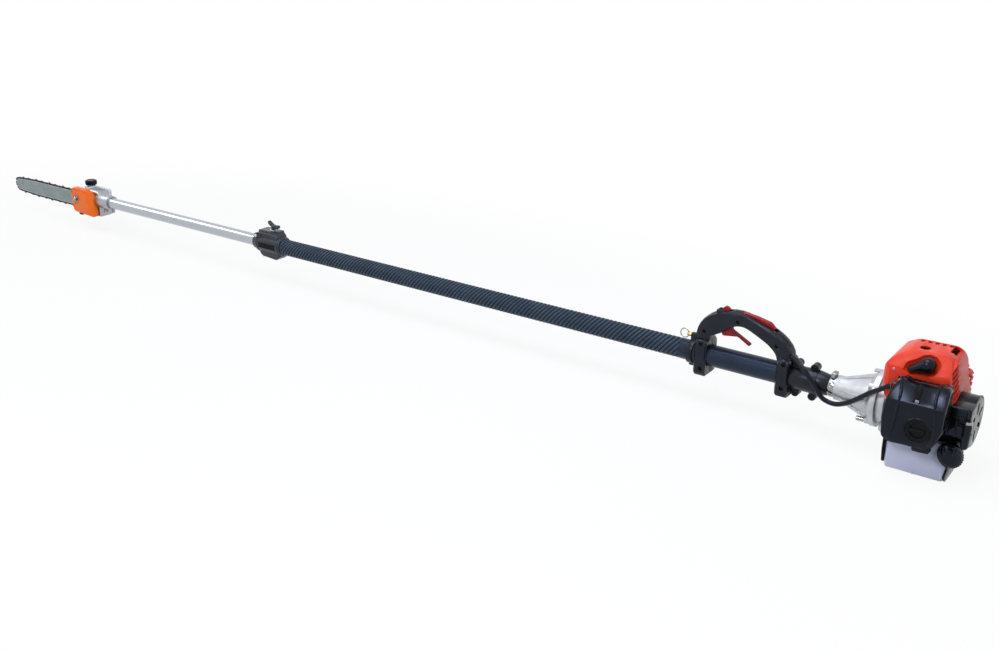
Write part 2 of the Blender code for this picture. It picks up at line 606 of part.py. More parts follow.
def engine_block():
    case = bevelled(block("crankcase", (-0.011, -0.040, -0.052), (0.0757, 0.040, 0.033),
                          (CAST_ALLOY, 0.55, 0.6)), 0.006)
    front = turned("crankcase_front", bar_profile(0.070, FLANGE_X - GAP, 0.046), None, segments=30)
    web_room = turned("web_room", bar_profile(CRANK_X - 0.0155, CRANK_X + 0.0155, WEB_R + 0.002), None)
    shaft_hole = turned("shaft_hole", bar_profile(-0.02, 0.12, CRANK_R + RUNNING), None)
    skirt_hole = turned("skirt_hole", bar_profile(0.0, 0.05, BORE_R + GAP), None, (CRANK_X, 0, 0), along="Z")
    sump = block("sump", (-0.006, -0.035, -0.047), (0.068, 0.035, -0.0215), None)
    joined(case, front)
    cut(case, web_room, shaft_hole, skirt_hole, sump)
    web = 0.006
    half_pin = 0.005
    crank = turned("crankshaft", [(STARTER_FRONT - 0.033, 0), (STARTER_FRONT - 0.033, CRANK_R),
                                  (CRANK_X - half_pin - web, CRANK_R), (CRANK_X - half_pin - web, WEB_R),
                                  (CRANK_X - half_pin, WEB_R), (CRANK_X - half_pin, 0)],
                   (STEEL, 0.3, 1.0))
    front_half = turned("crank_front", [(CRANK_X + half_pin, 0), (CRANK_X + half_pin, WEB_R),
                                        (CRANK_X + half_pin + web, WEB_R), (CRANK_X + half_pin + web, CRANK_R),
                                        (DRUM_FRONT - 0.0035, CRANK_R), (DRUM_FRONT - 0.0035, 0)], None)
    pin = turned("crank_pin", bar_profile(CRANK_X - half_pin - 0.002, CRANK_X + half_pin + 0.002, 0.0055),
                 None, (0, 0, CRANK_THROW), segments=20)
    joined(crank, front_half, pin)
    rotor_r = DRUM_R - DRUM_WALL - RUNNING
    rotor = turned("clutch_shoes", ring_profile(DRUM_REAR + 0.0005, DRUM_FRONT - 0.0045, CRANK_R + GAP,
                                                rotor_r), (CAST_ALLOY, 0.5, 0.6))
    slots = []
    for turn in range(3):
        slot = block("shoe_slot", (DRUM_REAR - 0.01, 0.012, -0.0012), (DRUM_FRONT, 0.04, 0.0012), None)
        slot.rotation_euler = (math.tau * turn / 3, 0, 0)
        slots.append(slot)
    cut(rotor, *slots)
    cylinder_block()
    crown = [(0.042, BORE_R - 0.0035), (0.042, BORE_R - GAP), (0.070, BORE_R - GAP), (0.070, 0)]
    crown += [(0.064, 0), (0.064, BORE_R - 0.0035)]
    piston = turned("piston", crown, (BRIGHT_ALLOY, 0.3, 1.0), (CRANK_X, 0, 0), along="Z", segments=16)
    joined(piston, turned("wrist_pin", bar_profile(-BORE_R + 0.0015, BORE_R - 0.0015, 0.004), None,
                          (CRANK_X, 0, 0.053), along="Y", segments=20))


PLUG_TIP = Vector((CRANK_X - 0.002, 0.004, HEAD_Z - 0.0095))
PLUG_AXIS = Vector((-0.36, 0.75, 0.26)).normalized()


def cylinder_block():
    """Finned cylinder with its head, ports and spark plug."""
    core = FIN_R - 0.006
    profile = [(0.0333, BORE_R), (0.0333, core)]
    level = 0.042
    while level < HEAD_Z - 0.004:
        profile += [(level, core), (level, FIN_R), (level + 0.002, FIN_R), (level + 0.002, core)]
        level += FIN_STEP
    profile += [(HEAD_Z, core), (HEAD_Z, 0), (HEAD_Z - 0.010, 0), (HEAD_Z - 0.010, BORE_R)]
    body = turned("cylinder", profile, (CAST_ALLOY, 0.55, 0.7), (CRANK_X, 0, 0), along="Z", segments=16)
    ports = []
    holes = []
    for side in (1, -1):
        low, high = sorted((side * 0.020, side * (FIN_R + 0.002)))
        ports.append(block("port_boss", (CRANK_X - 0.013, low, CARB_Z - 0.011),
                           (CRANK_X + 0.013, high, CARB_Z + 0.011), None))
        holes.append(rod("port_hole", (CRANK_X, side * 0.0, CARB_Z), (CRANK_X, side * 0.05, CARB_Z), 0.0065,
                         None))
    joined(body, *ports)
    plug_hole = rod("plug_hole", PLUG_TIP - PLUG_AXIS * 0.004, PLUG_TIP + PLUG_AXIS * 0.03, 0.0051, None)
    plug_seat = rod("plug_seat", PLUG_TIP + PLUG_AXIS * 0.0192, PLUG_TIP + PLUG_AXIS * 0.06, 0.0095, None)
    cut(body, *holes, plug_hole, plug_seat)
    plug = turned("spark_plug", [(0, 0), (0, 0.0048), (0.0195, 0.0048), (0.0195, 0.0078),
                                 (0.029, 0.0078), (0.029, 0.0045), (0.046, 0.0040), (0.046, 0)],
                  (CHROME, 0.25, 0.8), PLUG_TIP, segments=12)
    aimed(plug, PLUG_AXIS)


def boot_profile(extra=0.0):
    """Teardrop from the round end to the narrow tip, along its own axis."""
    round_r = 0.0145
    points = [(-round_r - extra, 0)]
    for step in range(1, 5):
        angle = math.pi - math.radians(26 * step)
        points.append(((round_r + extra) * math.cos(angle), (round_r + extra) * math.sin(angle)))
    points += [(0.018, 0.0085 + extra), (0.030, 0.0060 + extra), (0.034, 0.0040 + extra)]
    return points + [(0.035 + extra, 0)]


BOOT_CENTRE = PLUG_TIP + PLUG_AXIS * 0.0505
BOOT_AXIS = Vector((0.0335, 0.003, -0.016)).normalized()


def hood_outline(inset):
    """Side view of the red hood, drawn inward by its wall."""
    front = 0.077 - inset
    rear = -0.042 + inset
    top = HOOD_TOP - inset
    return filleted([(front - 0.014, 0.028), (front, 0.045), (front, 0.086), (front - 0.010, 0.103),
                     (front - 0.036, top - 0.001), (rear + 0.016, top), (rear + 0.006, top - 0.010),
                     (rear, 0.072), (rear - 0.010, 0.028)], 0.006)


def hood_section(inset):
    """End view of the hood: upright sides, then a slope to the flat top."""
    side = HOOD_HALF_WIDTH - inset
    top = HOOD_TOP + 0.01
    return filleted([(side, 0.02), (side, 0.092 - inset / 2), (side - 0.027, HOOD_TOP + 0.0015 - inset),
                     (side - 0.03, top), (-side + 0.03, top), (-side + 0.027, HOOD_TOP + 0.0015 - inset),
                     (-side, 0.092 - inset / 2), (-side, 0.02)], 0.006)


def hood_plan(name, inset):
    """Plan view of the hood, with its front corners cut off, from below its edge to above its top."""
    side = HOOD_HALF_WIDTH + 0.001 - inset
    front = 0.078 - inset
    plan = [(front, -0.042), (front, 0.042), (front - 0.013, side), (-0.0600, side)]
    return prism(name, filleted(plan + [(-0.0600, -side), (front - 0.013, -side)], 0.005), -0.02, 0.14, None,
                 along="Z")


def hood_blank(name, look=None):
    """The hood's outer form, solid."""
    blank = prism(name, hood_outline(0), -HOOD_HALF_WIDTH, HOOD_HALF_WIDTH, look)
    section = prism("hood_section", hood_section(0), -0.1, 0.12, None, along="X")
    combined(blank, "INTERSECT", [section])
    combined(blank, "INTERSECT", [hood_plan("hood_plan", 0)])
    return blank


def hood():
    """Red engine cover, the plug's boot in its side and the parts under it."""
    outer = hood_blank("engine_cover", (RED_PLASTIC, 0.35))
    inner = prism("hood_hollow", hood_outline(HOOD_WALL), -0.06, 0.06, None)
    lowered = prism("hood_hollow_low", [(0.0600, 0.020), (0.0710, 0.044), (-0.0460, 0.044), (-0.0500, 0.020)],
                    -0.06, 0.06, None)
    inner_section = prism("hood_inner_section", hood_section(HOOD_WALL), -0.1, 0.12, None, along="X")
    joined(inner, lowered)
    combined(inner, "INTERSECT", [inner_section])
    combined(inner, "INTERSECT", [hood_plan("hood_inner_plan", HOOD_WALL)])
    notches = [block("intake_notch", (-0.030, 0.0405, 0.0), (0.0385, 0.07, 0.0780), None)]
    notches.append(block("carb_notch", (-0.036, 0.0395, -0.01), (0.0472, 0.07, 0.0757), None))
    notches.append(block("lever_notch", (-0.034, 0.0385, -0.02), (0.0512, 0.07, 0.0625), None))
    muffler_notch = block("muffler_notch", (-0.018, -0.07, 0.0), (0.068, -0.030, 0.093), None)
    starter_room = turned("starter_room", bar_profile(-0.12, STARTER_FRONT + 0.001, STARTER_R + RUNNING), None,
                          segments=30)
    bracket_room = block("bracket_room", (-0.09, 0.0, -0.03), (-0.0415, 0.07, BRACKET_TOP + RUNNING), None)
    housing_room = turned("housing_room", bar_profile(0.070, 0.12, FLANGE_R + RUNNING), None, segments=30)
    boot_room = turned("boot_room", boot_profile(0.001), None, BOOT_CENTRE, segments=20)
    aimed(boot_room, BOOT_AXIS)
    top_hole = rod("top_hole", (0.0205, 0.010, 0.10), (0.0205, 0.010, 0.13), 0.0095, None)
    louvres = []
    for step in range(6):
        louvre = block("louvre", (-0.030, -0.0165, -0.0024), (0.012, 0.0165, 0.0024), None,
                       (-0.0470, 0.0300, 0.0560 + 0.0093 * step))
        louvre.rotation_euler = (-LOUVRE_TILT, 0, 0)
        louvres.append(louvre)
    for step in range(5):
        x = 0.034 - 0.0125 * step
        louvres.append(block("top_slot", (x - 0.0035, -0.0265, 0.10), (x + 0.0035, -0.0175, 0.13), None))
    dish_centre = BOOT_CENTRE + Vector((0, 0.0048, 0.0036))
    dish_shell = turned("dish_shell", boot_profile(DISH_MARGIN + HOOD_WALL), None, dish_centre, segments=26)
    aimed(dish_shell, BOOT_AXIS)
    combined(dish_shell, "INTERSECT", [hood_blank("dish_limit")])
    dish = turned("dish", boot_profile(DISH_MARGIN), None, dish_centre, segments=26)
    aimed(dish, BOOT_AXIS)
    lead = [Vector((-0.026, 0.006, COIL_TOP + GAP)), Vector((-0.026, 0.006, 0.073)), BOOT_CENTRE]
    lead_room = jointed_rods("lead_room", lead[1:], 0.0025 + RUNNING)
    plug_room = rod("plug_room", PLUG_TIP, PLUG_TIP + PLUG_AXIS * 0.06, 0.0086 + RUNNING, None)
    case_room = block("case_room", (-0.03, -0.0405, -0.06), (0.0757 + RUNNING, 0.0405, 0.0335), None)
    cut(outer, inner)
    joined(outer, dish_shell)
    cut(outer, dish, *notches, muffler_notch, starter_room, bracket_room, housing_room, boot_room, top_hole)
    cut(outer, plug_room, case_room, *lead_room, *louvres)
    boot = turned("plug_boot", boot_profile(), (RUBBER, 0.35), BOOT_CENTRE, segments=18)
    aimed(boot, BOOT_AXIS)
    ceramic_room = rod("ceramic_room", PLUG_TIP + PLUG_AXIS * 0.025, PLUG_TIP + PLUG_AXIS * 0.0465, 0.0052,
                       None)
    hexagon_room = rod("hexagon_room", PLUG_TIP + PLUG_AXIS * 0.015, PLUG_TIP + PLUG_AXIS * 0.0395, 0.0086,
                       None)
    joined(boot, *jointed_rods("ignition_lead", lead, 0.0025))
    cut(boot, ceramic_room, hexagon_room)


def jointed_rods(name, points, radius):
    """Helper rods from point to point, with a ball at each bend."""
    pieces = []
    for start, end in zip(points, points[1:]):
        pieces.append(rod(name, start, end, radius, None, segments=8))
    for bend in points[1:-1]:
        ball = arc((0, 0), radius * 1.2, 180, 0, 6)
        ball[0] = (ball[0][0], 0)
        ball[-1] = (ball[-1][0], 0)
        pieces.append(turned(name, ball, None, bend, segments=10))
    return pieces


def intake():
    """Carburettor with its throttle lever and primer bulb, and the air cleaner."""
    seat = FIN_R + 0.002 + GAP
    carb = bevelled(block("carburettor", (CRANK_X - 0.026, 0.0405, CARB_Z - 0.0205),
                          (CRANK_X + 0.020, AIRBOX_BACK - GAP, CARB_Z + 0.0185), (CAST_ALLOY, 0.5, 0.8)), 0.003)
    flange = block("intake_flange", (CRANK_X - 0.016, seat, CARB_Z - 0.012),
                   (CRANK_X + 0.016, 0.045, CARB_Z + 0.012), None)
    throat = rod("intake_throat", (CRANK_X, 0.02, CARB_Z), (CRANK_X, 0.1, CARB_Z), 0.0065, None)
    bulb = (CRANK_X - 0.005, 0.0535, CARB_Z - 0.0205)
    bulb_room = turned("bulb_room", bar_profile(-0.002, 0.0045, 0.0102), None, bulb, along="Z", segments=20)
    front = CRANK_X + 0.020
    arm = block("cable_bracket_arm", (front - 0.003, 0.0580, CARB_Z + 0.0065),
                (front + 0.0090, AIRBOX_BACK - GAP - 0.0006, CARB_Z + 0.0095), None)
    plate = block("cable_bracket_plate", (front + 0.0080, 0.0612, CARB_Z - 0.0045),
                  (front + 0.0096, 0.0692, CARB_Z + 0.0095), None)
    joined(carb, flange, arm, plate)
    cut(carb, throat, bulb_room)
    bulb_profile = [(-0.0080, 0), (-0.0070, 0.0050), (-0.0040, 0.0082), (-0.0005, 0.0096), (0.0004, 0.0096)]
    turned("primer_bulb", bulb_profile + [(0.0004, 0)], (RUBBER, 0.3), bulb, along="Z", segments=20)
    lever_at = (CRANK_X + 0.020 + GAP, 0.053, CARB_Z - 0.004)
    lever = turned("throttle_lever", bar_profile(0, 0.0035, 0.0088), (STEEL, 0.4, 1.0), lever_at, segments=20)
    notch = block("lever_notch", (-0.01, 0.002, 0.002), (0.01, 0.012, 0.012), None, lever_at)
    cut(lever, notch)
    air_cleaner()


def airbox_outline(inset):
    """Face of the air cleaner, narrow at the top and cut off at its lower corners."""
    points = [(-0.0510, 0.0830), (-0.0510, 0.0120), (-0.0420, -0.0100), (-0.0340, -0.0245), (0.0370, -0.0272),
              (0.0500, -0.0190), (0.0530, 0.0180), (0.0500, 0.0500), (0.0400, 0.0780), (0.0325, 0.0880),
              (0.0250, 0.0880), (0.0165, 0.0820), (-0.0270, 0.0835), (-0.0345, 0.0885), (-0.0450, 0.0885)]
    middle = Vector((0.0, 0.035))
    drawn = []
    for point in points:
        away = Vector(point) - middle
        drawn.append(tuple(middle + away * (1 - inset / away.length)))
    return filleted(drawn, 0.005)


def air_cleaner():
    seam = AIRBOX_BACK + 0.008
    base = bevelled(prism("air_cleaner_base", airbox_outline(0.002), AIRBOX_BACK, seam - GAP,
                          (BLACK_PLASTIC, 0.5)), 0.002)
    knob_shaft = 0.003
    stud = (CHOKE_X, CHOKE_Z)
    cover = prism("air_cleaner_cover", airbox_outline(0), seam, AIRBOX_FACE, (BLACK_PLASTIC, 0.4))
    bevelled(cover, 0.006, 2)
    slope = prism("cover_slope", [(0.0865, 0.095), (0.120, 0.095), (0.120, 0.055), (AIRBOX_FACE, 0.055)],
                  -0.08, 0.08, None, along="X")
    room = prism("cover_room", filleted([(-0.0430, 0.066), (-0.0430, 0.006), (-0.026, -0.014),
                                         (0.030, -0.015), (0.042, -0.006), (0.0435, 0.018),
                                         (0.034, 0.066)], 0.004), seam - 0.01, AIRBOX_FACE - 0.0095, None)
    recess = turned("choke_recess", bar_profile(AIRBOX_FACE - 0.006, AIRBOX_FACE + 0.01, CHOKE_RECESS_R),
                    None, (stud[0], 0, stud[1]), along="Y")
    shaft_hole = turned("choke_hole", bar_profile(seam - 0.02, AIRBOX_FACE + 0.01, knob_shaft + GAP), None,
                        (stud[0], 0, stud[1]), along="Y", segments=20)
    latch = bevelled(block("cover_latch", (-0.0078, 0.090, 0.066), (0.0028, 0.1105, 0.071), None), 0.0004)
    cut(cover, slope, room, recess, shaft_hole)
    joined(cover, latch)
    bolt_hole = rod("base_throat", (CRANK_X, 0.05, CARB_Z), (CRANK_X, 0.1, CARB_Z), 0.008, None)
    cut(base, bolt_hole)
    bevelled(block("air_filter", (-0.034, seam + GAP, 0.028), (0.030, seam + 0.020, 0.060), (FOAM, 0.9)),
             0.003)
    face = AIRBOX_FACE - 0.006 + GAP
    knob = turned("choke_knob", [(seam + GAP, 0), (seam + GAP, knob_shaft), (face, knob_shaft),
                                 (face, 0.0155), (face + 0.004, 0.0150), (face + 0.004, 0)],
                  (BLACK_PLASTIC, 0.35), (stud[0], 0, stud[1]), along="Y")
    grip = bevelled(block("choke_grip", (-0.013, face + 0.002, -0.0028), (0.013, face + 0.009, 0.0028), None,
                          (stud[0], 0, stud[1])), 0.001)
    joined(knob, grip)


def exhaust():
    seat = FIN_R + 0.002 + GAP
    muffler = bevelled(block("muffler", (CRANK_X - 0.035, -0.080, 0.020), (CRANK_X + 0.035, -0.0405, 0.084),
                             (DARK_STEEL, 0.5, 0.9)), 0.007)
    flange = block("muffler_flange", (CRANK_X - 0.013, -0.043, CARB_Z - 0.011), (CRANK_X + 0.013, -seat,
                                                                                CARB_Z + 0.011), None)
    port = rod("muffler_port", (CRANK_X, -0.02, CARB_Z), (CRANK_X, -0.050, CARB_Z), 0.0065, None)
    outlet = rod("muffler_outlet", (CRANK_X - 0.020, -0.070, 0.030), (CRANK_X - 0.020, -0.10, 0.030), 0.005,
                 None)
    room = block("muffler_room", (CRANK_X - 0.031, -0.076, 0.024), (CRANK_X + 0.031, -0.0445, 0.080), None)
    bevelled(room, 0.005)
    rear = -0.047
    front = CRANK_X + 0.040
    wall = 0.0025
    bosses = []
    for z in (0.036, 0.068):
        bosses.append(rod("guard_boss", (CRANK_X + 0.010, -0.078, z), (CRANK_X + 0.010, wall + GAP - 0.0875, z),
                          0.005, None))
    joined(muffler, flange)
    cut(muffler, port, outlet, room)
    joined(muffler, *bosses)
    side = [(rear, 0.014), (rear, 0.058), (rear + 0.028, 0.0915), (front, 0.0915), (front, 0.014)]
    room = [(rear + wall, 0.0165), (rear + wall, 0.057), (rear + 0.029, 0.089), (front - wall, 0.089)]
    guard = bevelled(prism("muffler_guard", side, -0.0875, -HOOD_HALF_WIDTH - GAP, (RED_PLASTIC, 0.35)), 0.006)
    hollow = prism("guard_room", room + [(front - wall, 0.0165)], -0.0875 + wall, -0.02, None)
    bevelled(hollow, 0.005)
    slots = []
    for step in range(5):
        z = 0.027 + 0.012 * step
        slots.append(block("guard_slot", (rear - 0.01, -0.10, z), (CRANK_X + 0.026, -0.058, z + 0.006), None))
    cut(guard, hollow, *slots)


def starter():
    """Recoil starter housing, reel, flywheel, ignition coil and the pull grip."""
    wall = STARTER_WALL
    inner = STARTER_R - wall
    rear = STARTER_REAR
    post = 0.005
    profile = [(rear, 0), (rear, STARTER_R - 0.003), (rear + 0.0035, STARTER_R), (STARTER_FRONT, STARTER_R)]
    housing = turned("starter_housing", profile + [(STARTER_FRONT, 0)], (BLACK_PLASTIC, 0.45), segments=30)
    room = [(rear + wall, post), (rear + wall, inner - 0.002), (rear + wall + 0.002, inner)]
    room += [(STARTER_FRONT + 0.01, inner), (STARTER_FRONT + 0.01, 0), (rear + 0.030, 0), (rear + 0.030, post)]
    cup_room = turned("starter_cup", room, None, segments=30)
    slots = []
    for turn in range(6):
        slot = block("vent_slot", (rear - 0.01, 0.016, -0.004), (rear + 0.005, 0.037, 0.004), None)
        slot.rotation_euler = (math.tau * (turn + 0.5) / 6, 0, 0)
        slots.append(slot)
    coil_window = block("coil_window", (-0.0375, -0.0165, 0.038), (STARTER_FRONT + 0.01, 0.0165, 0.06), None)
    bracket = bevelled(block("rope_bracket", (-0.0815, 0.020, -0.013), (-0.042, BRACKET_SIDE, BRACKET_TOP), None),
                       0.003)
    guide_at = (-0.0660, 0, 0.0150)
    guide_end = BRACKET_SIDE + 0.002
    guide = turned("rope_guide", bar_profile(BRACKET_SIDE - 0.003, guide_end, 0.007), None, guide_at, along="Y",
                   segments=16)
    guide_hole = turned("rope_hole", bar_profile(0.030, 0.07, 0.0025), None, guide_at, along="Y", segments=12)
    plate = filleted([(0.012, -0.0400), (0.030, -0.0375), (0.0345, -0.0480), (0.0350, -0.0715), (0.0640, -0.0715),
                      (0.0775, -0.0790), (0.0775, -0.0860), (0.0690, -0.0945), (0.012, -0.0945)], 0.002)
    foot = prism("tank_foot", plate, TANK_REAR - GAP - 0.0032, TANK_REAR - GAP, None, along="X")
    joined(housing, bracket, guide, foot)
    cut(housing, cup_room, *slots, coil_window, guide_hole)
    turned("starter_reel", [(rear + 0.009, post + GAP), (rear + 0.009, REEL_R), (rear + 0.0115, REEL_R),
                            (rear + 0.0125, REEL_R - 0.007), (rear + 0.0215, REEL_R - 0.007),
                            (rear + 0.0225, REEL_R), (rear + 0.025, REEL_R), (rear + 0.025, post + GAP)],
           (BLACK_PLASTIC, 0.5))
    turned("flywheel", [(-0.041, CRANK_R + GAP), (-0.041, 0.028), (-0.039, FLYWHEEL_R),
                        (-0.023, FLYWHEEL_R), (-0.0165, 0.032), (-0.0165, CRANK_R + GAP)],
           (CAST_ALLOY, 0.5, 0.7), teeth=12, tooth=0.0035)
    bevelled(block("ignition_coil", (-0.0355, -0.0145, FLYWHEEL_R + 0.0006), (-0.0175, 0.0145, COIL_TOP),
                   (BLACK_PLASTIC, 0.4)), 0.002)
    grip = [(-0.025, 0), (-0.025, 0.0045), (-0.021, 0.0068), (0.018, 0.0080), (0.022, 0.0062), (0.0275, 0.0055)]
    grip_at = (-0.0805, guide_end + 0.0088, 0.0015)
    stick = turned("starter_grip", grip + [(0.0275, 0)], (BLACK_PLASTIC, 0.4), grip_at, along="Z", segments=18)
    neck = rod("rope_end", (grip_at[0], grip_at[1], guide_at[2]), (guide_at[0], guide_end + 0.0035, guide_at[2]),
               0.002, None, segments=10)
    knot = turned("rope_knot", bar_profile(guide_end + GAP, guide_end + 0.0055, 0.0035), None, guide_at,
                  along="Y", segments=12)
    joined(stick, neck, knot)


def fuel_tank():
    def tank_outline(inset):
        low = -AXIS_HEIGHT + inset
        return filleted([(TANK_RIGHT + inset, low), (TANK_LEFT - inset, low), (TANK_LEFT - inset, -0.030 - inset),
                         (0.050 + inset, -0.030 - inset), (0.046 + inset, -0.0523 - inset),
                         (-0.044 - inset, -0.0523 - inset), (-0.046 - inset, -0.036 - inset),
                         (TANK_RIGHT + inset, -0.036 - inset)], 0.014)

    tank = prism("fuel_tank", tank_outline(0), TANK_REAR, TANK_FRONT, (TANK_PLASTIC, 0.3), along="X")
    bevelled(tank, 0.011, 3)
    room = prism("tank_room", tank_outline(TANK_WALL), TANK_REAR + TANK_WALL, TANK_FRONT - TANK_WALL, None,
                 along="X")
    bevelled(room, 0.008, 2)
    cap_axis = Vector((-0.62, 0.48, 0.62)).normalized()
    seat = Vector((-0.0535, 0.0555, -0.0510))
    beyond = rod("tank_seat", seat, seat + cap_axis * 0.06, 0.06, None)
    beyond_room = rod("tank_room_seat", seat - cap_axis * TANK_WALL, seat + cap_axis * 0.06, 0.062, None)
    neck = rod("tank_neck", seat - cap_axis * 0.010, seat + cap_axis * 0.004, CAP_R - 0.007, None)
    mouth_r = CAP_R - 0.010
    mouth = rod("tank_mouth", seat - cap_axis * 0.014, seat + cap_axis * 0.02, mouth_r, None)
    cut(room, beyond_room)
    cut(tank, beyond)
    joined(tank, neck)
    cut(tank, room, mouth)
    under = 0.004 + GAP
    profile = [(-0.006, 0), (-0.006, mouth_r - GAP), (under, mouth_r - GAP), (under, CAP_R)]
    profile += [(under + CAP_HEIGHT * 0.7, CAP_R - 0.001), (under + CAP_HEIGHT, CAP_R - 0.006)]
    cap = turned("fuel_cap", profile + [(under + CAP_HEIGHT, 0)], (BLACK_PLASTIC, 0.35), seat, segments=24)
    aimed(cap, cap_axis)
    front = TANK_FRONT + GAP
    guard = [(0.030, -0.088), (0.077, -0.085), (0.083, -0.060), (0.083, -0.020), (0.050, -0.020)]
    guard = filleted(guard + [(0.044, -0.030), (0.044, -0.058), (0.030, -0.066)], 0.004)
    bevelled(prism("tank_guard", guard, front, front + 0.005, (BLACK_PLASTIC, 0.45), along="X"), 0.001)
    line = [(CRANK_X - 0.021, 0.0555, CARB_Z - 0.0210), (CRANK_X - 0.023, 0.0560, 0.020),
            (CRANK_X - 0.027, 0.0600, -0.005), (CRANK_X - 0.028, 0.0620, -0.0296)]
    hose("fuel_line", line, 0.0025, (FOAM, 0.4))


def bar_loop(offset):
    """Outline round the sprocket, along the bar's edges and round its nose, pushed out by offset."""
    nose_r = 0.0175
    tip = COVER_FRONT + BAR_REACH
    centre = (tip - nose_r, -BAR_DROP)
    points = arc((GEAR_X, 0), SPROCKET_R + offset, 100, 260, 10)
    points += [(GEAR_X + 0.030, -BAR_DROP - BAR_HALF - offset)]
    points += [(tip - 0.105, -BAR_DROP - BAR_HALF - offset)]
    points += arc(centre, nose_r + offset, -80, 80, 10)
    points += [(tip - 0.105, -BAR_DROP + BAR_HALF + offset)]
    return points + [(GEAR_X + 0.030, -BAR_DROP + BAR_HALF + offset)]


def saw_head():
    nut = (COVER_FRONT - 0.023, -0.002)
    socket = turned("gearbox_housing", bar_profile(SOCKET_REAR, GEAR_X - 0.030, 0.0215),
                    (CAST_ALLOY, 0.45, 0.7), segments=30)
    case = filleted([(GEAR_X - 0.037, 0.020), (GEAR_X - 0.030, 0.028), (GEAR_X + 0.030, 0.028),
                     (GEAR_X + 0.038, 0.018), (GEAR_X + 0.038, -0.030), (GEAR_X + 0.020, -0.040),
                     (GEAR_X - 0.020, -0.050), (GEAR_X - 0.037, -0.050)], 0.006)
    face = CASE_FACE
    body = bevelled(prism("gear_case", case, -0.030, face, None), 0.003)
    seat = BAR_Y - BAR_THICKNESS / 2 - GAP
    pad = bevelled(block("bar_pad", (GEAR_X + 0.032, -0.012, -0.022), (nut[0] + 0.015, seat, 0.011), None),
                   0.002)
    stud = turned("bar_stud", bar_profile(face - 0.01, face + GAP + COVER_DEPTH + 0.008, STUD_R), None,
                  (nut[0], 0, nut[1]), along="Y", segments=16)
    room = [(-0.0280, 0), (-0.0280, 0.0064), (-0.0245, 0.0064), (-0.0245, GEAR_R + 0.002)]
    room += [(0.0020, GEAR_R + 0.002), (0.0020, 0.0064), (0.0200, 0.0064), (0.0200, 0)]
    gear_room = turned("gear_room", room, None, (GEAR_X, 0, 0), along="Y", segments=22)
    end = INNER_TUBE_FRONT + GAP
    room = [(SOCKET_REAR - 0.01, 0), (SOCKET_REAR - 0.01, OUTER_TUBE_BORE), (end, OUTER_TUBE_BORE)]
    room += [(end, PINION_R + 0.0013), (GEAR_X - 0.005, PINION_R + 0.0013), (GEAR_X - 0.005, 0)]
    tube_room = turned("tube_room", room, None, segments=30)
    ear = bevelled(block("socket_ears", (SOCKET_REAR + 0.002, -0.010, -0.032), (SOCKET_REAR + 0.034, 0.010,
                                                                              -0.012), None), 0.002)
    slit = block("socket_slit", (SOCKET_REAR - 0.01, -0.001, -0.04), (SOCKET_REAR + 0.036, 0.001, -0.010), None)
    joined(socket, body, pad, stud, ear)
    bolt_x = SOCKET_REAR + 0.018
    cut(socket, gear_room, tube_room, slit)
    joined(socket, turned("socket_bolt", [(-0.0130, 0), (-0.0130, 0.0025), (0.0095, 0.0025),
                                          (0.0095, 0.0045), (0.0145, 0.0045), (0.0145, 0)], None,
                          (bolt_x, 0, -0.0255), along="Y", segments=12))
    slope = PINION_R / GEAR_R
    tip = GEAR_R - 0.005
    teeth = [(-0.0205, 0), (-0.0205, GEAR_R - 0.002), (-GEAR_R * slope - 0.0035, GEAR_R + 0.0008)]
    teeth += [(-GEAR_R * slope - RUNNING, GEAR_R), (-tip * slope - RUNNING, tip), (-tip * slope - RUNNING, 0)]
    gear = turned("bevel_gear", teeth, (STEEL, 0.35, 1.0), (GEAR_X, 0, 0), along="Y", teeth=14, tooth=0.0014)
    joined(gear, turned("sprocket_shaft", bar_profile(-0.0275, BAR_Y + 0.0075, 0.0059), None, (GEAR_X, 0, 0),
                        along="Y", segments=20))
    turned("sprocket", ring_profile(BAR_Y - 0.0032, BAR_Y + 0.0032, 0.0062, SPROCKET_R - RUNNING),
           (STEEL, 0.35, 1.0), (GEAR_X, 0, 0), along="Y", teeth=7, tooth=0.003)
    bar_and_chain(nut)
    sprocket_cover(nut)
    oil_supply()


def bar_and_chain(nut):
    nose_r = 0.0175
    tip = COVER_FRONT + BAR_REACH
    rear = GEAR_X + SPROCKET_R + 0.006
    outline = [(rear, -BAR_DROP + 0.012), (rear, -BAR_DROP - 0.012), (rear + 0.014, -BAR_DROP - BAR_HALF)]
    outline += [(tip - 0.105, -BAR_DROP - BAR_HALF)]
    outline += arc((tip - nose_r, -BAR_DROP), nose_r, -80, 80, 10)
    outline += [(tip - 0.105, -BAR_DROP + BAR_HALF), (rear + 0.014, -BAR_DROP + BAR_HALF)]
    half = BAR_THICKNESS / 2
    bar = prism("guide_bar", outline, BAR_Y - half, BAR_Y + half, (BAR_GREY, 0.45, 0.8))
    side = STUD_R + 0.0004
    slot = block("bar_slot", (nut[0] - 0.020, -0.02, nut[1] - side), (nut[0] + 0.006, 0.05, nut[1] + side),
                 None)
    nose_hole = rod("nose_hole", (tip - 0.030, 0, -BAR_DROP + 0.002), (tip - 0.030, 0.04, -BAR_DROP + 0.002),
                    0.0018, None, segments=16)
    cut(bar, slot, nose_hole)
    outer = bar_loop(GAP + CHAIN_HEIGHT)
    inner = bar_loop(GAP)
    width = CHAIN_WIDTH / 2
    chain = prism("saw_chain", outer, BAR_Y - width, BAR_Y + width, (DARK_STEEL, 0.4, 0.9))
    cut(chain, prism("chain_room", inner, BAR_Y - 0.02, BAR_Y + 0.02, None))


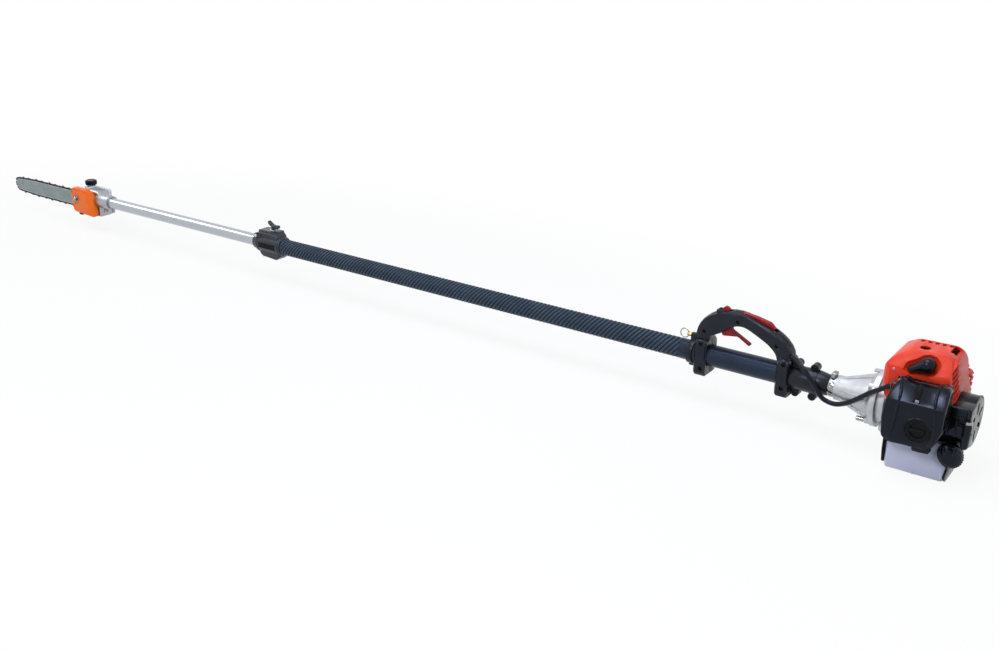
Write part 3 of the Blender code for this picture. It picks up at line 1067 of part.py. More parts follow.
def sprocket_cover(nut):
    back = CASE_FACE + GAP
    face = back + COVER_DEPTH

    def cover_outline(inset):
        return filleted([(COVER_FRONT - inset, -0.031), (COVER_FRONT - 0.006 - inset, -0.0435 + inset),
                         (COVER_FRONT - 0.042, -0.0456 + inset), (COVER_REAR + 0.004 + inset, -0.0485 + inset),
                         (COVER_REAR - 0.0005 + inset, -0.040), (COVER_REAR + 0.002 + inset, 0.008),
                         (COVER_REAR + 0.012 + inset, 0.023 - inset), (COVER_REAR + 0.034, 0.0325 - inset),
                         (COVER_FRONT - 0.012 - inset, 0.0325 - inset), (COVER_FRONT - inset, 0.023 - inset)],
                        0.004)

    cover = bevelled(prism("sprocket_cover", cover_outline(0), back, face, (ORANGE_PLASTIC, 0.35)), 0.003)
    room = prism("cover_hollow", cover_outline(0.0025), back - 0.01, face - 0.0025, None)
    way = block("bar_way", (COVER_FRONT - 0.03, back - 0.01, -0.0355), (COVER_FRONT + 0.02, face - 0.0045,
                                                                     0.0245), None)
    hole = rod("cover_hole", (nut[0], 0, nut[1]), (nut[0], 0.06, nut[1]), STUD_R + GAP, None)
    cut(cover, room, way, hole)
    bore = (STUD_R + GAP) / math.cos(math.pi / 6)
    turned("bar_nut", ring_profile(face + GAP, face + 0.0065, bore, 0.0082), (CHROME, 0.15, 1.0),
           (nut[0], 0, nut[1]), along="Y", segments=6)


def oil_supply():
    """Translucent chain-oil tank on the gear case, with its filler cap."""
    right = -0.0303
    top = 0.0200
    tank = bevelled(block("oil_tank", (GEAR_X - 0.004, right - 0.031, -0.046),
                          (GEAR_X + 0.098, right, top), (OIL_PLASTIC, 0.3)), 0.006, 2)
    room = bevelled(block("oil_room", (GEAR_X - 0.002, right - 0.029, -0.044),
                          (GEAR_X + 0.096, right - 0.002, top - 0.002), None), 0.004)
    cap_x = GEAR_X + 0.0768
    cap_y = right - 0.0147
    neck = turned("oil_neck", bar_profile(top - 0.01, top + 0.004, 0.0115), None, (cap_x, cap_y, 0), along="Z",
                  segments=20)
    mouth = turned("oil_mouth", bar_profile(top - 0.02, top + 0.02, 0.0095), None, (cap_x, cap_y, 0), along="Z",
                   segments=20)
    joined(tank, neck)
    cut(tank, room, mouth)
    seat = top + 0.0043
    turned("oil_cap", [(seat - 0.006, 0), (seat - 0.006, 0.009), (seat, 0.009), (seat, OIL_CAP_R - 0.001),
                       (seat + 0.002, OIL_CAP_R), (seat + 0.013, OIL_CAP_R), (seat + 0.015, OIL_CAP_R - 0.002),
                       (seat + 0.015, 0)], (BLACK_PLASTIC, 0.4), (cap_x, cap_y, 0), along="Z", segments=30)


def main():
    global FRAME
    clear_scene()
    FRAME = bpy.data.objects.new("pole_axis", None)
    bpy.context.scene.collection.objects.link(FRAME)
    FRAME.location = (0, 0, AXIS_HEIGHT)
    pole()
    drive_line()
    telescope_clamp()
    handle()
    harness_hanger()
    coupler()
    throttle_conduit()
    clutch_housing()
    engine_block()
    hood()
    intake()
    exhaust()
    starter()
    fuel_tank()
    saw_head()


main()
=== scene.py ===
# %% [markdown]
# # Petrol pole saw
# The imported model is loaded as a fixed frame: each of its nodes already has its real size and
# place. This scene gives those nodes their surface, and puts finer pieces where the real machine
# shows finer shapes.

# %% Load the frame
import json
import math

import bpy
from mathutils import Matrix, Vector


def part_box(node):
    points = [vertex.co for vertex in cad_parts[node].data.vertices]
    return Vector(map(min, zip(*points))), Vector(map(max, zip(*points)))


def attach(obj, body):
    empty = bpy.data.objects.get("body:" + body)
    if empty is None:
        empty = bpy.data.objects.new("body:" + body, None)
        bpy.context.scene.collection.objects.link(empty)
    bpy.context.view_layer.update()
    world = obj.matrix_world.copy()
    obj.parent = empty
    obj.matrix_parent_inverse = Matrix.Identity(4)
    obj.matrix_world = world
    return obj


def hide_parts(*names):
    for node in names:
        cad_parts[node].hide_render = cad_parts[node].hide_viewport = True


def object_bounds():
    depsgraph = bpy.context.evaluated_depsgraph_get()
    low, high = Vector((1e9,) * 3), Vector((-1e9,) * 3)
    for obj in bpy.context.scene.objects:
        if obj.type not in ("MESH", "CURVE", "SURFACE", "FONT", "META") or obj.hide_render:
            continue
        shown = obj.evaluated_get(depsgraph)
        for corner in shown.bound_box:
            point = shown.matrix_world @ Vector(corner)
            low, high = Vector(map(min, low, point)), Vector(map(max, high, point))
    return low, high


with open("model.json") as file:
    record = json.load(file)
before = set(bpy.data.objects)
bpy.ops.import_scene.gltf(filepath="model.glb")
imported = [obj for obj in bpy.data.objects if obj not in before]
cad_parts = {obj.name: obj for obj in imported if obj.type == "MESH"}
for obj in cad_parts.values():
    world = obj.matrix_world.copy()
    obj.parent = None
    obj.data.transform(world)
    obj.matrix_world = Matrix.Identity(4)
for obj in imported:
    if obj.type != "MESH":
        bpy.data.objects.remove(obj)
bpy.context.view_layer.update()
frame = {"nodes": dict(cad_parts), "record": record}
bpy.ops.object.select_all(action="DESELECT")
scene = bpy.context.scene

# %% [markdown]
# ## Camera
# The photograph was taken from behind and above the engine, on the machine's left, so the pole
# runs away to the far left and shrinks with distance. The camera stands where the straight pole's
# perspective puts it.

# %% Camera
LENS_MM = 39.64
CAMERA_PLACE = Vector((-0.4380, 1.8916, 0.9570))
CAMERA_RIGHT = Vector((-0.80446, -0.59401, 0.0))
CAMERA_UP = Vector((0.21627, -0.29288, 0.93137))

camera_data = bpy.data.cameras.new("photo_camera")
camera_data.sensor_width = 36
camera_data.lens = LENS_MM
camera = bpy.data.objects.new("photo_camera", camera_data)
scene.collection.objects.link(camera)
facing = Matrix((CAMERA_RIGHT, CAMERA_UP, CAMERA_RIGHT.cross(CAMERA_UP))).transposed()
camera.matrix_world = Matrix.Translation(CAMERA_PLACE) @ facing.to_4x4()
scene.camera = camera
print("camera at", tuple(round(v, 3) for v in CAMERA_PLACE))

# %% [markdown]
# ## Colours and the node helper
# Colours are written as the sRGB values that a screen shows, and one function turns them to the
# linear values that the shaders need. One small function adds a shader node, sets it up and wires
# it.


# %% Helpers for materials
def linear(code, alpha=1.0):
    """The linear colour of an sRGB hex code such as #D2691E."""
    parts = [int(code[i:i + 2], 16) / 255 for i in (1, 3, 5)]
    return [c / 12.92 if c <= 0.04045 else ((c + 0.055) / 1.055) ** 2.4 for c in parts] + [alpha]


def add(tree, kind, inputs=None, **settings):
    """Adds one node of a kind, with its settings, and fills or links its inputs."""
    made = tree.nodes.new(kind)
    for name, value in settings.items():
        setattr(made, name, value)
    for socket, value in (inputs or {}).items():
        if isinstance(value, bpy.types.NodeSocket):
            tree.links.new(value, made.inputs[socket])
        else:
            made.inputs[socket].default_value = value
    return made


def start(name, rough, specular=0.5, metallic=0.0):
    """A new material with its shader, its output and the coordinates that its patterns read."""
    made = bpy.data.materials.new(name)
    made.use_nodes = True
    tree = made.node_tree
    tree.nodes.clear()
    shader = add(tree, "ShaderNodeBsdfPrincipled", {"Roughness": rough, "Specular IOR Level": specular,
                                                    "Metallic": metallic})
    add(tree, "ShaderNodeOutputMaterial", {"Surface": shader.outputs["BSDF"]})
    place = add(tree, "ShaderNodeTexCoord").outputs["Object"]
    return made, tree, shader, place


def two_tones(tree, shader, factor, code, other_code):
    """Colours the shader between two sRGB codes by a factor."""
    mix = add(tree, "ShaderNodeMix", {0: factor, 6: linear(code), 7: linear(other_code)}, data_type="RGBA")
    tree.links.new(mix.outputs[2], shader.inputs["Base Color"])


def uneven(tree, shader, value, low, high):
    """Lets the roughness wander between two values with a pattern."""
    gloss = add(tree, "ShaderNodeMapRange", {"Value": value, "From Min": 0.3, "From Max": 0.72,
                                             "To Min": low, "To Max": high})
    tree.links.new(gloss.outputs["Result"], shader.inputs["Roughness"])


def relief(tree, shader, height, strength, depth_mm):
    """Raises the surface by a pattern, to a real depth in millimetres."""
    bump = add(tree, "ShaderNodeBump", {"Height": height, "Strength": strength, "Distance": depth_mm / 1000})
    tree.links.new(bump.outputs["Normal"], shader.inputs["Normal"])


# %% [markdown]
# ## Moulded plastics
# Housings, covers, caps and handles are injection-moulded. The mould is spark-eroded, which
# leaves a fine even grain, and the plastic has slight differences of tone and gloss where it
# flowed and where it is handled. One recipe serves them all, with the colour, the gloss and the
# size of the grain of each. Black parts get a low specular level and a cool tint, because the
# white room would otherwise turn them grey.


# %% Moulded plastic
FLOW_PATCH, SCUFF, CAST_PATCH = 0.035, 0.012, 0.020


def moulded(name, code, worn_code, rough, grain_mm, bump, specular=0.5, coat=0.0, tint="#FFFFFF"):
    """A moulded plastic: two close tones in soft patches, uneven gloss and a fine grain."""
    made, tree, shader, place = start(name, rough, specular)
    patches = add(tree, "ShaderNodeTexNoise", {"Vector": place, "Scale": 1 / FLOW_PATCH, "Detail": 3.0,
                                               "Roughness": 0.55}).outputs["Fac"]
    tone = add(tree, "ShaderNodeMapRange", {"Value": patches, "From Min": 0.35, "From Max": 0.7})
    two_tones(tree, shader, tone.outputs["Result"], code, worn_code)
    scuffs = add(tree, "ShaderNodeTexNoise", {"Vector": place, "Scale": 1 / SCUFF, "Detail": 5.0,
                                              "Roughness": 0.65}).outputs["Fac"]
    uneven(tree, shader, scuffs, rough - 0.05, rough + 0.08)
    grain = add(tree, "ShaderNodeTexNoise", {"Vector": place, "Scale": 1000 / grain_mm, "Detail": 2.0})
    relief(tree, shader, grain.outputs["Fac"], bump, 0.15)
    shader.inputs["Coat Weight"].default_value = coat
    shader.inputs["Coat Roughness"].default_value = 0.15
    shader.inputs["Specular Tint"].default_value = linear(tint)
    return made


# Nylon of the handle and the coupler: near black, satin, with a cool sheen.
nylon = moulded("black_nylon", "#151516", "#1C1C1E", 0.30, 1.0, 0.14, specular=0.32, tint="#D2E0FF")
# The same nylon from a polished mould, for the engine's covers: glossier, with a blue sheen.
cover_nylon = moulded("cover_nylon", "#111110", "#151514", 0.20, 1.0, 0.06, specular=0.26,
                      tint="#C6D6FF")
# ABS with a fair gloss: the hood and the guard of the muffler.
red_abs = moulded("red_abs", "#EC3A20", "#F04629", 0.34, 1.4, 0.02, specular=0.22)
# ABS of the trigger, the lockout and the switch.
dark_red_abs = moulded("dark_red_abs", "#8E0C16", "#9C1019", 0.30, 1.2, 0.03, specular=0.25)
# ABS of the cover over the sprocket.
orange_abs = moulded("orange_abs", "#FB6A0E", "#FF7A1A", 0.34, 1.4, 0.03, specular=0.22)
# Natural rubber and its soft plastics: dull, nearly black.
rubber = moulded("moulded_rubber", "#161719", "#1C1D20", 0.32, 0.8, 0.12, specular=0.24, tint="#B9CCF2")
# The soft sleeve of the pole: dull slate grey with a blue cast.
sleeve_rubber = moulded("sleeve_rubber", "#36424E", "#3F4C5A", 0.44, 1.0, 0.12, specular=0.14,
                        tint="#BDD0F8")
# Painted shade in the bottom of the sleeve's grooves: a darker, duller rubber where the grooves lie in
# shadow.
groove_painted_shade = moulded("groove_painted_shade", "#141B24", "#1A222C", 0.70, 1.0, 0.12, specular=0.05)
# The clamp's nylon is filled with glass fibre, so it is greyer, with a stronger grain.
clamp_nylon = moulded("glass_filled_nylon", "#1D1F22", "#2B2F33", 0.28, 1.2, 0.20, specular=0.50,
                      tint="#DCE6FF")
# The smooth grip section in front of the engine, glossier and bluer.
grip_plastic = moulded("grip_section_plastic", "#20262F", "#262D38", 0.30, 1.0, 0.06, specular=0.34,
                       tint="#AFC8FF")
# Rough black plastic that mirrors little, for the parts that lie deep in shade.
dull_black = moulded("dull_black_plastic", "#0C0D0E", "#131416", 0.60, 1.0, 0.10, specular=0.12)
print("moulded plastics ready")

# %% [markdown]
# ## Blow-moulded tank plastic
# Polyethylene lets light a little way in, so the tank looks milky, whiter at its thick corners,
# with a faint lilac cast. It is made as a dense white plastic with some light passing below its
# surface.


# %% Tank plastic
THICK_PATCH, ORANGE_PEEL = 0.050, 0.004


def milky(name, code, thick_code):
    """Blow-moulded polyethylene: a dense milky plastic with a soft orange-peel skin."""
    made, tree, shader, place = start(name, 0.34, 0.45)
    cloud = add(tree, "ShaderNodeTexNoise", {"Vector": place, "Scale": 1 / THICK_PATCH, "Detail": 2.0})
    two_tones(tree, shader, cloud.outputs["Fac"], code, thick_code)
    orange_peel = add(tree, "ShaderNodeTexNoise", {"Vector": place, "Scale": 1 / ORANGE_PEEL, "Detail": 1.0})
    relief(tree, shader, orange_peel.outputs["Fac"], 0.10, 0.3)
    shader.inputs["Subsurface Weight"].default_value = 0.30
    shader.inputs["Subsurface Radius"].default_value = (0.006, 0.006, 0.007)
    shader.inputs["Subsurface Scale"].default_value = 1.0
    return made


tank_plastic = milky("blow_moulded_polyethylene", "#BEC2DC", "#D0D3E8")
oil_plastic = milky("clear_white_polyethylene", "#E6E8EC", "#F0F1F4")
print("tank plastics ready")

# %% [markdown]
# ## Metals
# The tubes are drawn and anodised aluminium, with hair-fine lines along their length. Castings
# have a skin like fine sand. Ground steel shows short scratches, and the chain is blackened. A
# metal's colour is that of its reflections, and in a white room all of them are white, so each
# metal's own grey is what tells it from the room. The fine grains are drawn 0.4 to 1.5 mm wide,
# because a finer one wouldn't show in the render.


# %% Metals
def metal(name, code, dark_code, rough, spread, grain_mm, stretch, bump, metallic=1.0):
    """A metal whose grain is stretched along the pole by a factor, 1 for none."""
    made, tree, shader, place = start(name, rough, 0.5, metallic)
    fitted = add(tree, "ShaderNodeMapping", {"Vector": place, "Scale": (1 / stretch, 1.0, 1.0)}).outputs[0]
    grain = add(tree, "ShaderNodeTexNoise", {"Vector": fitted, "Scale": 1000 / grain_mm, "Detail": 4.0,
                                             "Roughness": 0.6}).outputs["Fac"]
    patches = add(tree, "ShaderNodeTexNoise", {"Vector": place, "Scale": 1 / CAST_PATCH,
                                               "Detail": 3.0}).outputs["Fac"]
    tone = add(tree, "ShaderNodeMapRange", {"Value": patches, "From Min": 0.3, "From Max": 0.7})
    two_tones(tree, shader, tone.outputs["Result"], code, dark_code)
    uneven(tree, shader, grain, rough - spread, rough + spread)
    relief(tree, shader, grain, bump, 0.12)
    return made


# Drawn tubes: an even silver grey, smooth enough to mirror a lamp as one bright line along the
# pole.
drawn_aluminium = metal("anodised_drawn_aluminium", "#B4B9C0", "#AFB4BB", 0.20, 0.05, 0.5, 60.0, 0.04)
# Die castings: a sandy skin that spreads the light.
cast_aluminium = metal("die_cast_aluminium", "#C6C8CC", "#B2B5BA", 0.44, 0.06, 0.7, 1.0, 0.25, 0.85)
# The saw's gear case: a casting that was tumbled smooth, so it is glossier than the others.
bright_casting = metal("bright_casting", "#B0B3B9", "#9DA1A7", 0.32, 0.06, 0.7, 1.0, 0.18, 0.90)
# Turned and milled steel of the bar's rails, rivets and screws: a light grey with fine turning
# lines.
machined_steel = metal("machined_steel", "#B5B6B9", "#9C9DA1", 0.28, 0.06, 0.4, 8.0, 0.12)
# Blackened steel of the socket screws: nearly black, with a dull shine.
blackened_steel = metal("blackened_steel", "#2A2A2E", "#1D1D20", 0.30, 0.08, 0.6, 1.0, 0.20, 0.85)
# The ground and lacquered side of the guide bar: greenish grey, with short lines along the bar.
ground_steel = metal("ground_bar_steel", "#8D9A9A", "#7D8A8B", 0.40, 0.08, 0.4, 25.0, 0.20, 0.35)
# The chain, black with oil.
chain_steel = metal("oiled_chain_steel", "#0C0C0E", "#09090A", 0.42, 0.08, 0.6, 1.0, 0.20, 0.20)
# The carburettor's body: pressure-cast zinc, dull mid grey.
zinc_casting = metal("grey_zinc_casting", "#77797D", "#64666A", 0.50, 0.06, 0.7, 1.0, 0.25, 0.85)
# Zinc-plated screws and washers: pale, with a soft shine.
zinc_plate = metal("zinc_plated_steel", "#E4E6E9", "#D3D6DA", 0.34, 0.06, 0.6, 1.0, 0.08, 0.35)
# Chrome plate of the ring, the nut and the springs: a mirror, darker than what it mirrors.
chrome = metal("chrome_plate", "#9A9B9D", "#909193", 0.10, 0.04, 1.5, 1.0, 0.03)
# Turned brass of the ring's swivel and gate.
brass = metal("turned_brass", "#DDBF74", "#C9A95F", 0.24, 0.06, 0.4, 1.0, 0.10)
print("metals ready")

# %% [markdown]
# ## Soft and clear materials
# The air filter is open foam, and the fuel line is a clear hose gone amber with fuel.

# %% Foam and hose
FOAM_CELL = 0.0015
filter_foam, tree, shader, place = start("filter_foam", 0.95, 0.1)
cells = add(tree, "ShaderNodeTexVoronoi", {"Vector": place, "Scale": 1 / FOAM_CELL})
two_tones(tree, shader, cells.outputs["Distance"], "#B89A4E", "#E2CC88")
relief(tree, shader, cells.outputs["Distance"], 0.8, 0.6)

clear_hose = moulded("amber_fuel_hose", "#D2BE6A", "#DCC97C", 0.25, 2.0, 0.05, coat=0.3)
print("foam and hose ready")

# %% [markdown]
# ## Which finish each node has
# The record names a material slot for each node. Most slots have one finish, and a few nodes that
# look different from their slot's other nodes are named with their own.

# %% Finish for each slot and node
FINISHES = {
    "black_plastic": nylon, "grip_grey": sleeve_rubber, "grip_section": grip_plastic, "black_rubber": rubber,
    "red_plastic": red_abs, "dark_red_plastic": dark_red_abs, "orange_plastic": orange_abs,
    "tank_plastic": tank_plastic, "cast_alloy": cast_aluminium, "bright_alloy": drawn_aluminium,
    "steel": machined_steel, "dark_steel": blackened_steel, "bar_steel": ground_steel, "chrome": chrome,
    "brass": brass, "foam": filter_foam, "fuel_hose": clear_hose,
}
OWN_FINISH = {
    "air_cleaner_cover": cover_nylon, "air_cleaner_base": cover_nylon, "starter_housing": cover_nylon,
    "starter_grip": cover_nylon, "fuel_cap": cover_nylon, "choke_knob": dull_black, "tank_guard": dull_black,
    "plug_boot": cover_nylon, "oil_tank": oil_plastic, "gearbox_housing": bright_casting,
    "clamp_body": clamp_nylon, "clamp_knob": clamp_nylon, "saw_chain": chain_steel,
    "carburettor": zinc_casting,
}
SLOT_OF = {part["node"]: part["material_slot"] for part in frame["record"]["subparts"]}
BODY_OF = {node: body for body, nodes in frame["record"]["behaviour"]["bodies"].items() for node in nodes}


def clothe(obj, material):
    """Gives an object one material and nothing else."""
    obj.data.materials.clear()
    obj.data.materials.append(material)


def finish_of(node):
    """The finish of a node: its own, or that of its slot."""
    return OWN_FINISH.get(node, FINISHES[SLOT_OF[node]])


for node, obj in frame["nodes"].items():
    clothe(obj, finish_of(node))
print("slots in use:", len(set(SLOT_OF.values())))

# %% [markdown]
# ## Tools of the workbench
# A piece starts as a disc. It is drawn out ring by ring along an axis, as on a lathe, or its
# corners are dragged to an outline and it is drawn out straight, as from sheet. Sharp edges then
# get the small round that a mould or a file leaves, and what repeats is made once and copied.
# Heights are measured from the pole's axis, and every tool lifts its piece to the axis' real
# height.


# %% Select and edit
def activate(*objects):
    """Selects some objects only, the last of them active."""
    bpy.ops.object.select_all(action="DESELECT")
    for obj in objects:
        obj.select_set(True)
    bpy.context.view_layer.objects.active = objects[-1]


def edited(obj, *steps):
    """Runs edit-mode steps on the whole of an object."""
    activate(obj)
    bpy.ops.object.mode_set(mode="EDIT")
    bpy.ops.mesh.select_all(action="SELECT")
    for step in steps:
        step()
    bpy.ops.object.mode_set(mode="OBJECT")
    return obj


def apply_all(obj):
    """Applies every modifier of an object, in order."""
    activate(obj)
    for name in [m.name for m in obj.modifiers]:
        bpy.ops.object.modifier_apply(modifier=name)


def outwards():
    """Merges what coincides and turns every face outwards, in edit mode."""
    bpy.ops.mesh.select_all(action="SELECT")
    bpy.ops.mesh.remove_doubles(threshold=0.000002)
    bpy.ops.mesh.normals_make_consistent(inside=False)


def rounded(obj, width, segments=2, angle=30):
    """Rounds an object's sharp edges and shades the rest smooth."""
    if width:
        bevel = obj.modifiers.new("edge_round", "BEVEL")
        bevel.width = width
        bevel.segments = segments
        bevel.limit_method = "ANGLE"
        bevel.angle_limit = math.radians(angle)
    apply_all(obj)
    activate(obj)
    bpy.ops.object.shade_smooth_by_angle(angle=math.radians(angle + 5))
    return obj


# %% Lathe and sheet work
AXIS = 0.0965
LIFT = Vector((0, 0, AXIS))
ON_AXIS, FORWARD, LEFT, UP = (0, 0, 0), (1, 0, 0), (0, 1, 0), (0, 0, 1)


def lathe(name, centre, axis, profile, sides=32, hollow=False):
    """Draws a disc out along an axis through (distance, radius) rings, open at both ends if hollow."""
    centre, axis = Vector(centre) + LIFT, Vector(axis).normalized()
    bpy.ops.object.select_all(action="DESELECT")
    bpy.ops.mesh.primitive_circle_add(vertices=sides, radius=profile[0][1],
                                      fill_type="NOTHING" if hollow else "NGON",
                                      location=centre + axis * profile[0][0],
                                      rotation=axis.to_track_quat("Z", "Y").to_euler())
    bpy.ops.object.transform_apply()
    piece = bpy.context.object
    piece.name = piece.data.name = name
    bpy.ops.object.mode_set(mode="EDIT")
    bpy.ops.mesh.select_all(action="SELECT")
    for (begin, old), (end, new) in zip(profile, profile[1:]):
        bpy.ops.mesh.extrude_region_move(TRANSFORM_OT_translate={"value": axis * (end - begin)})
        if new != old:
            bpy.ops.transform.resize(value=(new / old,) * 3, center_override=centre + axis * end)
    outwards()
    bpy.ops.object.mode_set(mode="OBJECT")
    return piece


def ring(name, centre, axis, profile, sides=32):
    """A turned piece with a hole through it: its profile ends where it began."""
    return lathe(name, centre, axis, profile + profile[:1], sides, hollow=True)


def sheet(name, outline, across, low, high):
    """Drags a disc's corners to an outline and draws it out along X, Y or Z, from low to high."""
    bpy.ops.object.select_all(action="DESELECT")
    bpy.ops.mesh.primitive_circle_add(vertices=len(outline), radius=0.01, fill_type="NGON")
    piece = bpy.context.object
    piece.name = piece.data.name = name
    for corner, (a, b) in zip(piece.data.vertices, outline):
        corner.co = LIFT + Vector({"X": (low, a, b), "Y": (a, low, b), "Z": (a, b, low)}[across])
    away = Vector([float(axis == across) for axis in "XYZ"]) * (high - low)
    return edited(piece, lambda: bpy.ops.mesh.extrude_region_move(TRANSFORM_OT_translate={"value": away}),
                  outwards)


def wire(name, points, radius, sides=3, closed=False):
    """A round wire or hose: a path whose points are dragged to a route, given thickness and made a mesh."""
    bpy.ops.object.select_all(action="DESELECT")
    bpy.ops.curve.primitive_nurbs_path_add()
    piece = bpy.context.object
    piece.name = name
    curve = piece.data
    curve.splines.clear()
    spline = curve.splines.new("NURBS")
    spline.points.add(len(points) - 1)
    for point, place in zip(spline.points, points):
        point.co = (*(Vector(place) + LIFT), 1)
    spline.use_endpoint_u = not closed
    spline.use_cyclic_u = closed
    spline.order_u = 3
    curve.resolution_u = 6
    curve.bevel_depth = radius
    curve.bevel_resolution = sides
    curve.use_fill_caps = not closed
    bpy.ops.object.convert(target="MESH")
    bpy.ops.object.shade_smooth_by_angle(angle=math.radians(40))
    return piece


# %% Cutting, copying and placing
def drilled(piece, *cutters, keep="DIFFERENCE"):
    """Cuts other pieces out of a piece and throws them away."""
    for cutter in cutters:
        work = piece.modifiers.new("cut", "BOOLEAN")
        work.operation = keep
        work.object = cutter
        work.solver = "EXACT"
        apply_all(piece)
        bpy.data.objects.remove(cutter)
    return piece


def copied(piece, name, matrix):
    """A copy of a piece with its own mesh, moved by a matrix."""
    again = bpy.data.objects.new(name, piece.data.copy())
    scene.collection.objects.link(again)
    again.data.transform(matrix)
    return again


def gathered(name, pieces):
    """Joins pieces of one kind into one object."""
    activate(*pieces)
    bpy.ops.object.join()
    made = bpy.context.object
    made.name = made.data.name = name
    return made


def about(point, turn):
    """The matrix of a turn about a point."""
    there = Matrix.Translation(point)
    return there @ turn @ there.inverted()


DONE = set()


def settle(piece, node, material=None, stands_for=True):
    """Dresses a piece and lets it ride where a node rides, in that node's place or beside it."""
    clothe(piece, material or finish_of(node))
    if stands_for:
        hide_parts(node)
        DONE.add(node)
    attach(piece, BODY_OF[node])
    return piece


def trim(piece, node, material=None, width=0.0, segments=2):
    """Rounds a finer piece and lets it ride beside its node."""
    return settle(rounded(piece, width, segments), node, material, stands_for=False)


print("workbench ready, pole axis at", AXIS)

# %% [markdown]
# ## Nodes in their own shape
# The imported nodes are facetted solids. A copy of each one is merged into one skin, its flat
# facets are joined, and its sharp edges are rounded. The node itself is left alone, and the copy
# stands for it.


# %% Copy of a node, merged and rounded
SMALL_ROUND = 0.0004
SAME_POINT, FLAT_DEGREES = 0.000005, 0.4


def bare_copy(node):
    """A copy of a node, with its loose triangles merged and its flat facets joined."""
    copy = bpy.data.objects.new(node + "_finished", frame["nodes"][node].data.copy())
    scene.collection.objects.link(copy)
    return edited(copy, lambda: bpy.ops.mesh.remove_doubles(threshold=SAME_POINT),
                  lambda: bpy.ops.mesh.dissolve_limited(angle_limit=math.radians(FLAT_DEGREES)))


def finished_copy(node, width=SMALL_ROUND, angle=30, *cutters):
    """A copy of a node with holes cut and edges rounded, which stands for the node."""
    copy = bare_copy(node)
    drilled(copy, *cutters)
    return settle(rounded(copy, width, angle=angle), node)


print("copy tool ready")

# %% [markdown]
# ## Tubes of the pole
# The pole is drawn tube inside drawn tube, so each one is a plain ring drawn out along the axis,
# with its cut ends broken by a small chamfer. A lathe profile that ends where it began gives a
# true tube with a bore.


# %% Tubes
def extent(node):
    """Where a round node along the pole starts and ends, and its radius."""
    low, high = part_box(node)
    return low[0], high[0], max(high[1] - low[1], high[2] - low[2]) / 2


def plain_tube(name, low, high, bore, radius, edge=0.0005):
    """A tube along the pole with its ends chamfered."""
    return rounded(ring(name, ON_AXIS, FORWARD, [
        (low, bore), (low, radius - edge), (low + edge, radius), (high - edge, radius),
        (high, radius - edge), (high, bore)], TUBE_SIDES), 0)


TUBE_SIDES = 56
COVER_BORE = 0.0180
for node, bore in (("inner_tube", 0.0145), ("outer_tube", 0.0163), ("grip_tube", COVER_BORE)):
    low, high, radius = extent(node)
    settle(plain_tube(node + "_drawn", low, high, bore, radius), node)
print("tubes drawn")

# %% [markdown]
# ## Ribbed sleeve
# The soft sleeve has ribs about 10 mm apart that lean forward at the top. One pitch of the
# surface is drawn as a few rings, an Array modifier repeats it along the pole, and the bore
# closes it. Then the whole is leaned over, which turns the rings into slanting ribs, and both
# ends are cut square under a smooth band. The row starts before the sleeve and ends after it, so
# that the cuts go through whole ribs.

# %% Ribbed sleeve
PITCH, GROOVE, LEAN = 0.0100, 0.0007, 0.85
REAR_BAND, FRONT_BAND, UNDER_BAND = 0.0180, 0.0050, 0.0010
SPARE_REAR, SPARE_FRONT = 0.0060, 0.0230
low, high, radius = extent("pole_sleeve")
begin, smooth_end = low - SPARE_REAR, low + REAR_BAND
count = math.ceil((high - begin + SPARE_FRONT) / PITCH)
floor_radius, brow_radius = radius - GROOVE, radius - 0.0001
sleeve = lathe("pole_sleeve_ribs", ON_AXIS, FORWARD, [
    (begin, floor_radius), (begin + 0.0010, brow_radius), (begin + 0.0022, radius),
    (begin + 0.0048, radius), (begin + 0.0060, brow_radius), (begin + 0.0070, floor_radius),
    (begin + PITCH, floor_radius)], 36, hollow=True)
rows = sleeve.modifiers.new("rows", "ARRAY")
rows.count = count
rows.use_relative_offset = False
rows.use_constant_offset = True
rows.constant_offset_displace = (PITCH, 0, 0)
rows.use_merge_vertices = True
rows.merge_threshold = 0.00001
apply_all(sleeve)
narrow = COVER_BORE / floor_radius
bpy.ops.object.mode_set(mode="EDIT")
bpy.ops.mesh.select_all(action="SELECT")
bpy.ops.mesh.remove_doubles(threshold=0.00001)
bpy.ops.mesh.select_mode(type="EDGE")
bpy.ops.mesh.select_all(action="DESELECT")
bpy.ops.mesh.select_non_manifold()
bpy.ops.mesh.extrude_region_move(TRANSFORM_OT_translate={"value": (0, 0, 0)})
bpy.ops.transform.resize(value=(1, narrow, narrow), center_override=(0, 0, AXIS))
bpy.ops.mesh.bridge_edge_loops()
outwards()
bpy.ops.mesh.select_mode(type="VERT")
bpy.ops.object.mode_set(mode="OBJECT")
for point in sleeve.data.vertices:
    point.co.x -= LEAN * (point.co.z - AXIS)
bpy.ops.object.mode_set(mode="EDIT")
for x, way in ((smooth_end - UNDER_BAND, -1), (high - FRONT_BAND + UNDER_BAND, 1)):
    bpy.ops.mesh.select_all(action="SELECT")
    bpy.ops.mesh.bisect(plane_co=(x, 0, AXIS), plane_no=(way, 0, 0), use_fill=True, clear_outer=True)
outwards()
bpy.ops.object.mode_set(mode="OBJECT")
rounded(sleeve, 0, angle=25)
settle(sleeve, "pole_sleeve")
# The faces at the bottom of the grooves take the darker rubber, as painted shade in the grooves.
sleeve.data.materials.append(groove_painted_shade)
for face in sleeve.data.polygons:
    if math.hypot(face.center.y, face.center.z - AXIS) < radius - GROOVE * 0.75:
        face.material_index = 1
proud = radius + 0.0001
settle(plain_tube("pole_sleeve_rear_band", low, smooth_end, COVER_BORE, proud, 0.0008), "pole_sleeve",
       grip_plastic)
settle(plain_tube("pole_sleeve_front_band", high - FRONT_BAND, high, COVER_BORE, proud), "pole_sleeve")
print("ribs:", count, "triangles:", sum(len(f.vertices) - 2 for f in sleeve.data.polygons))

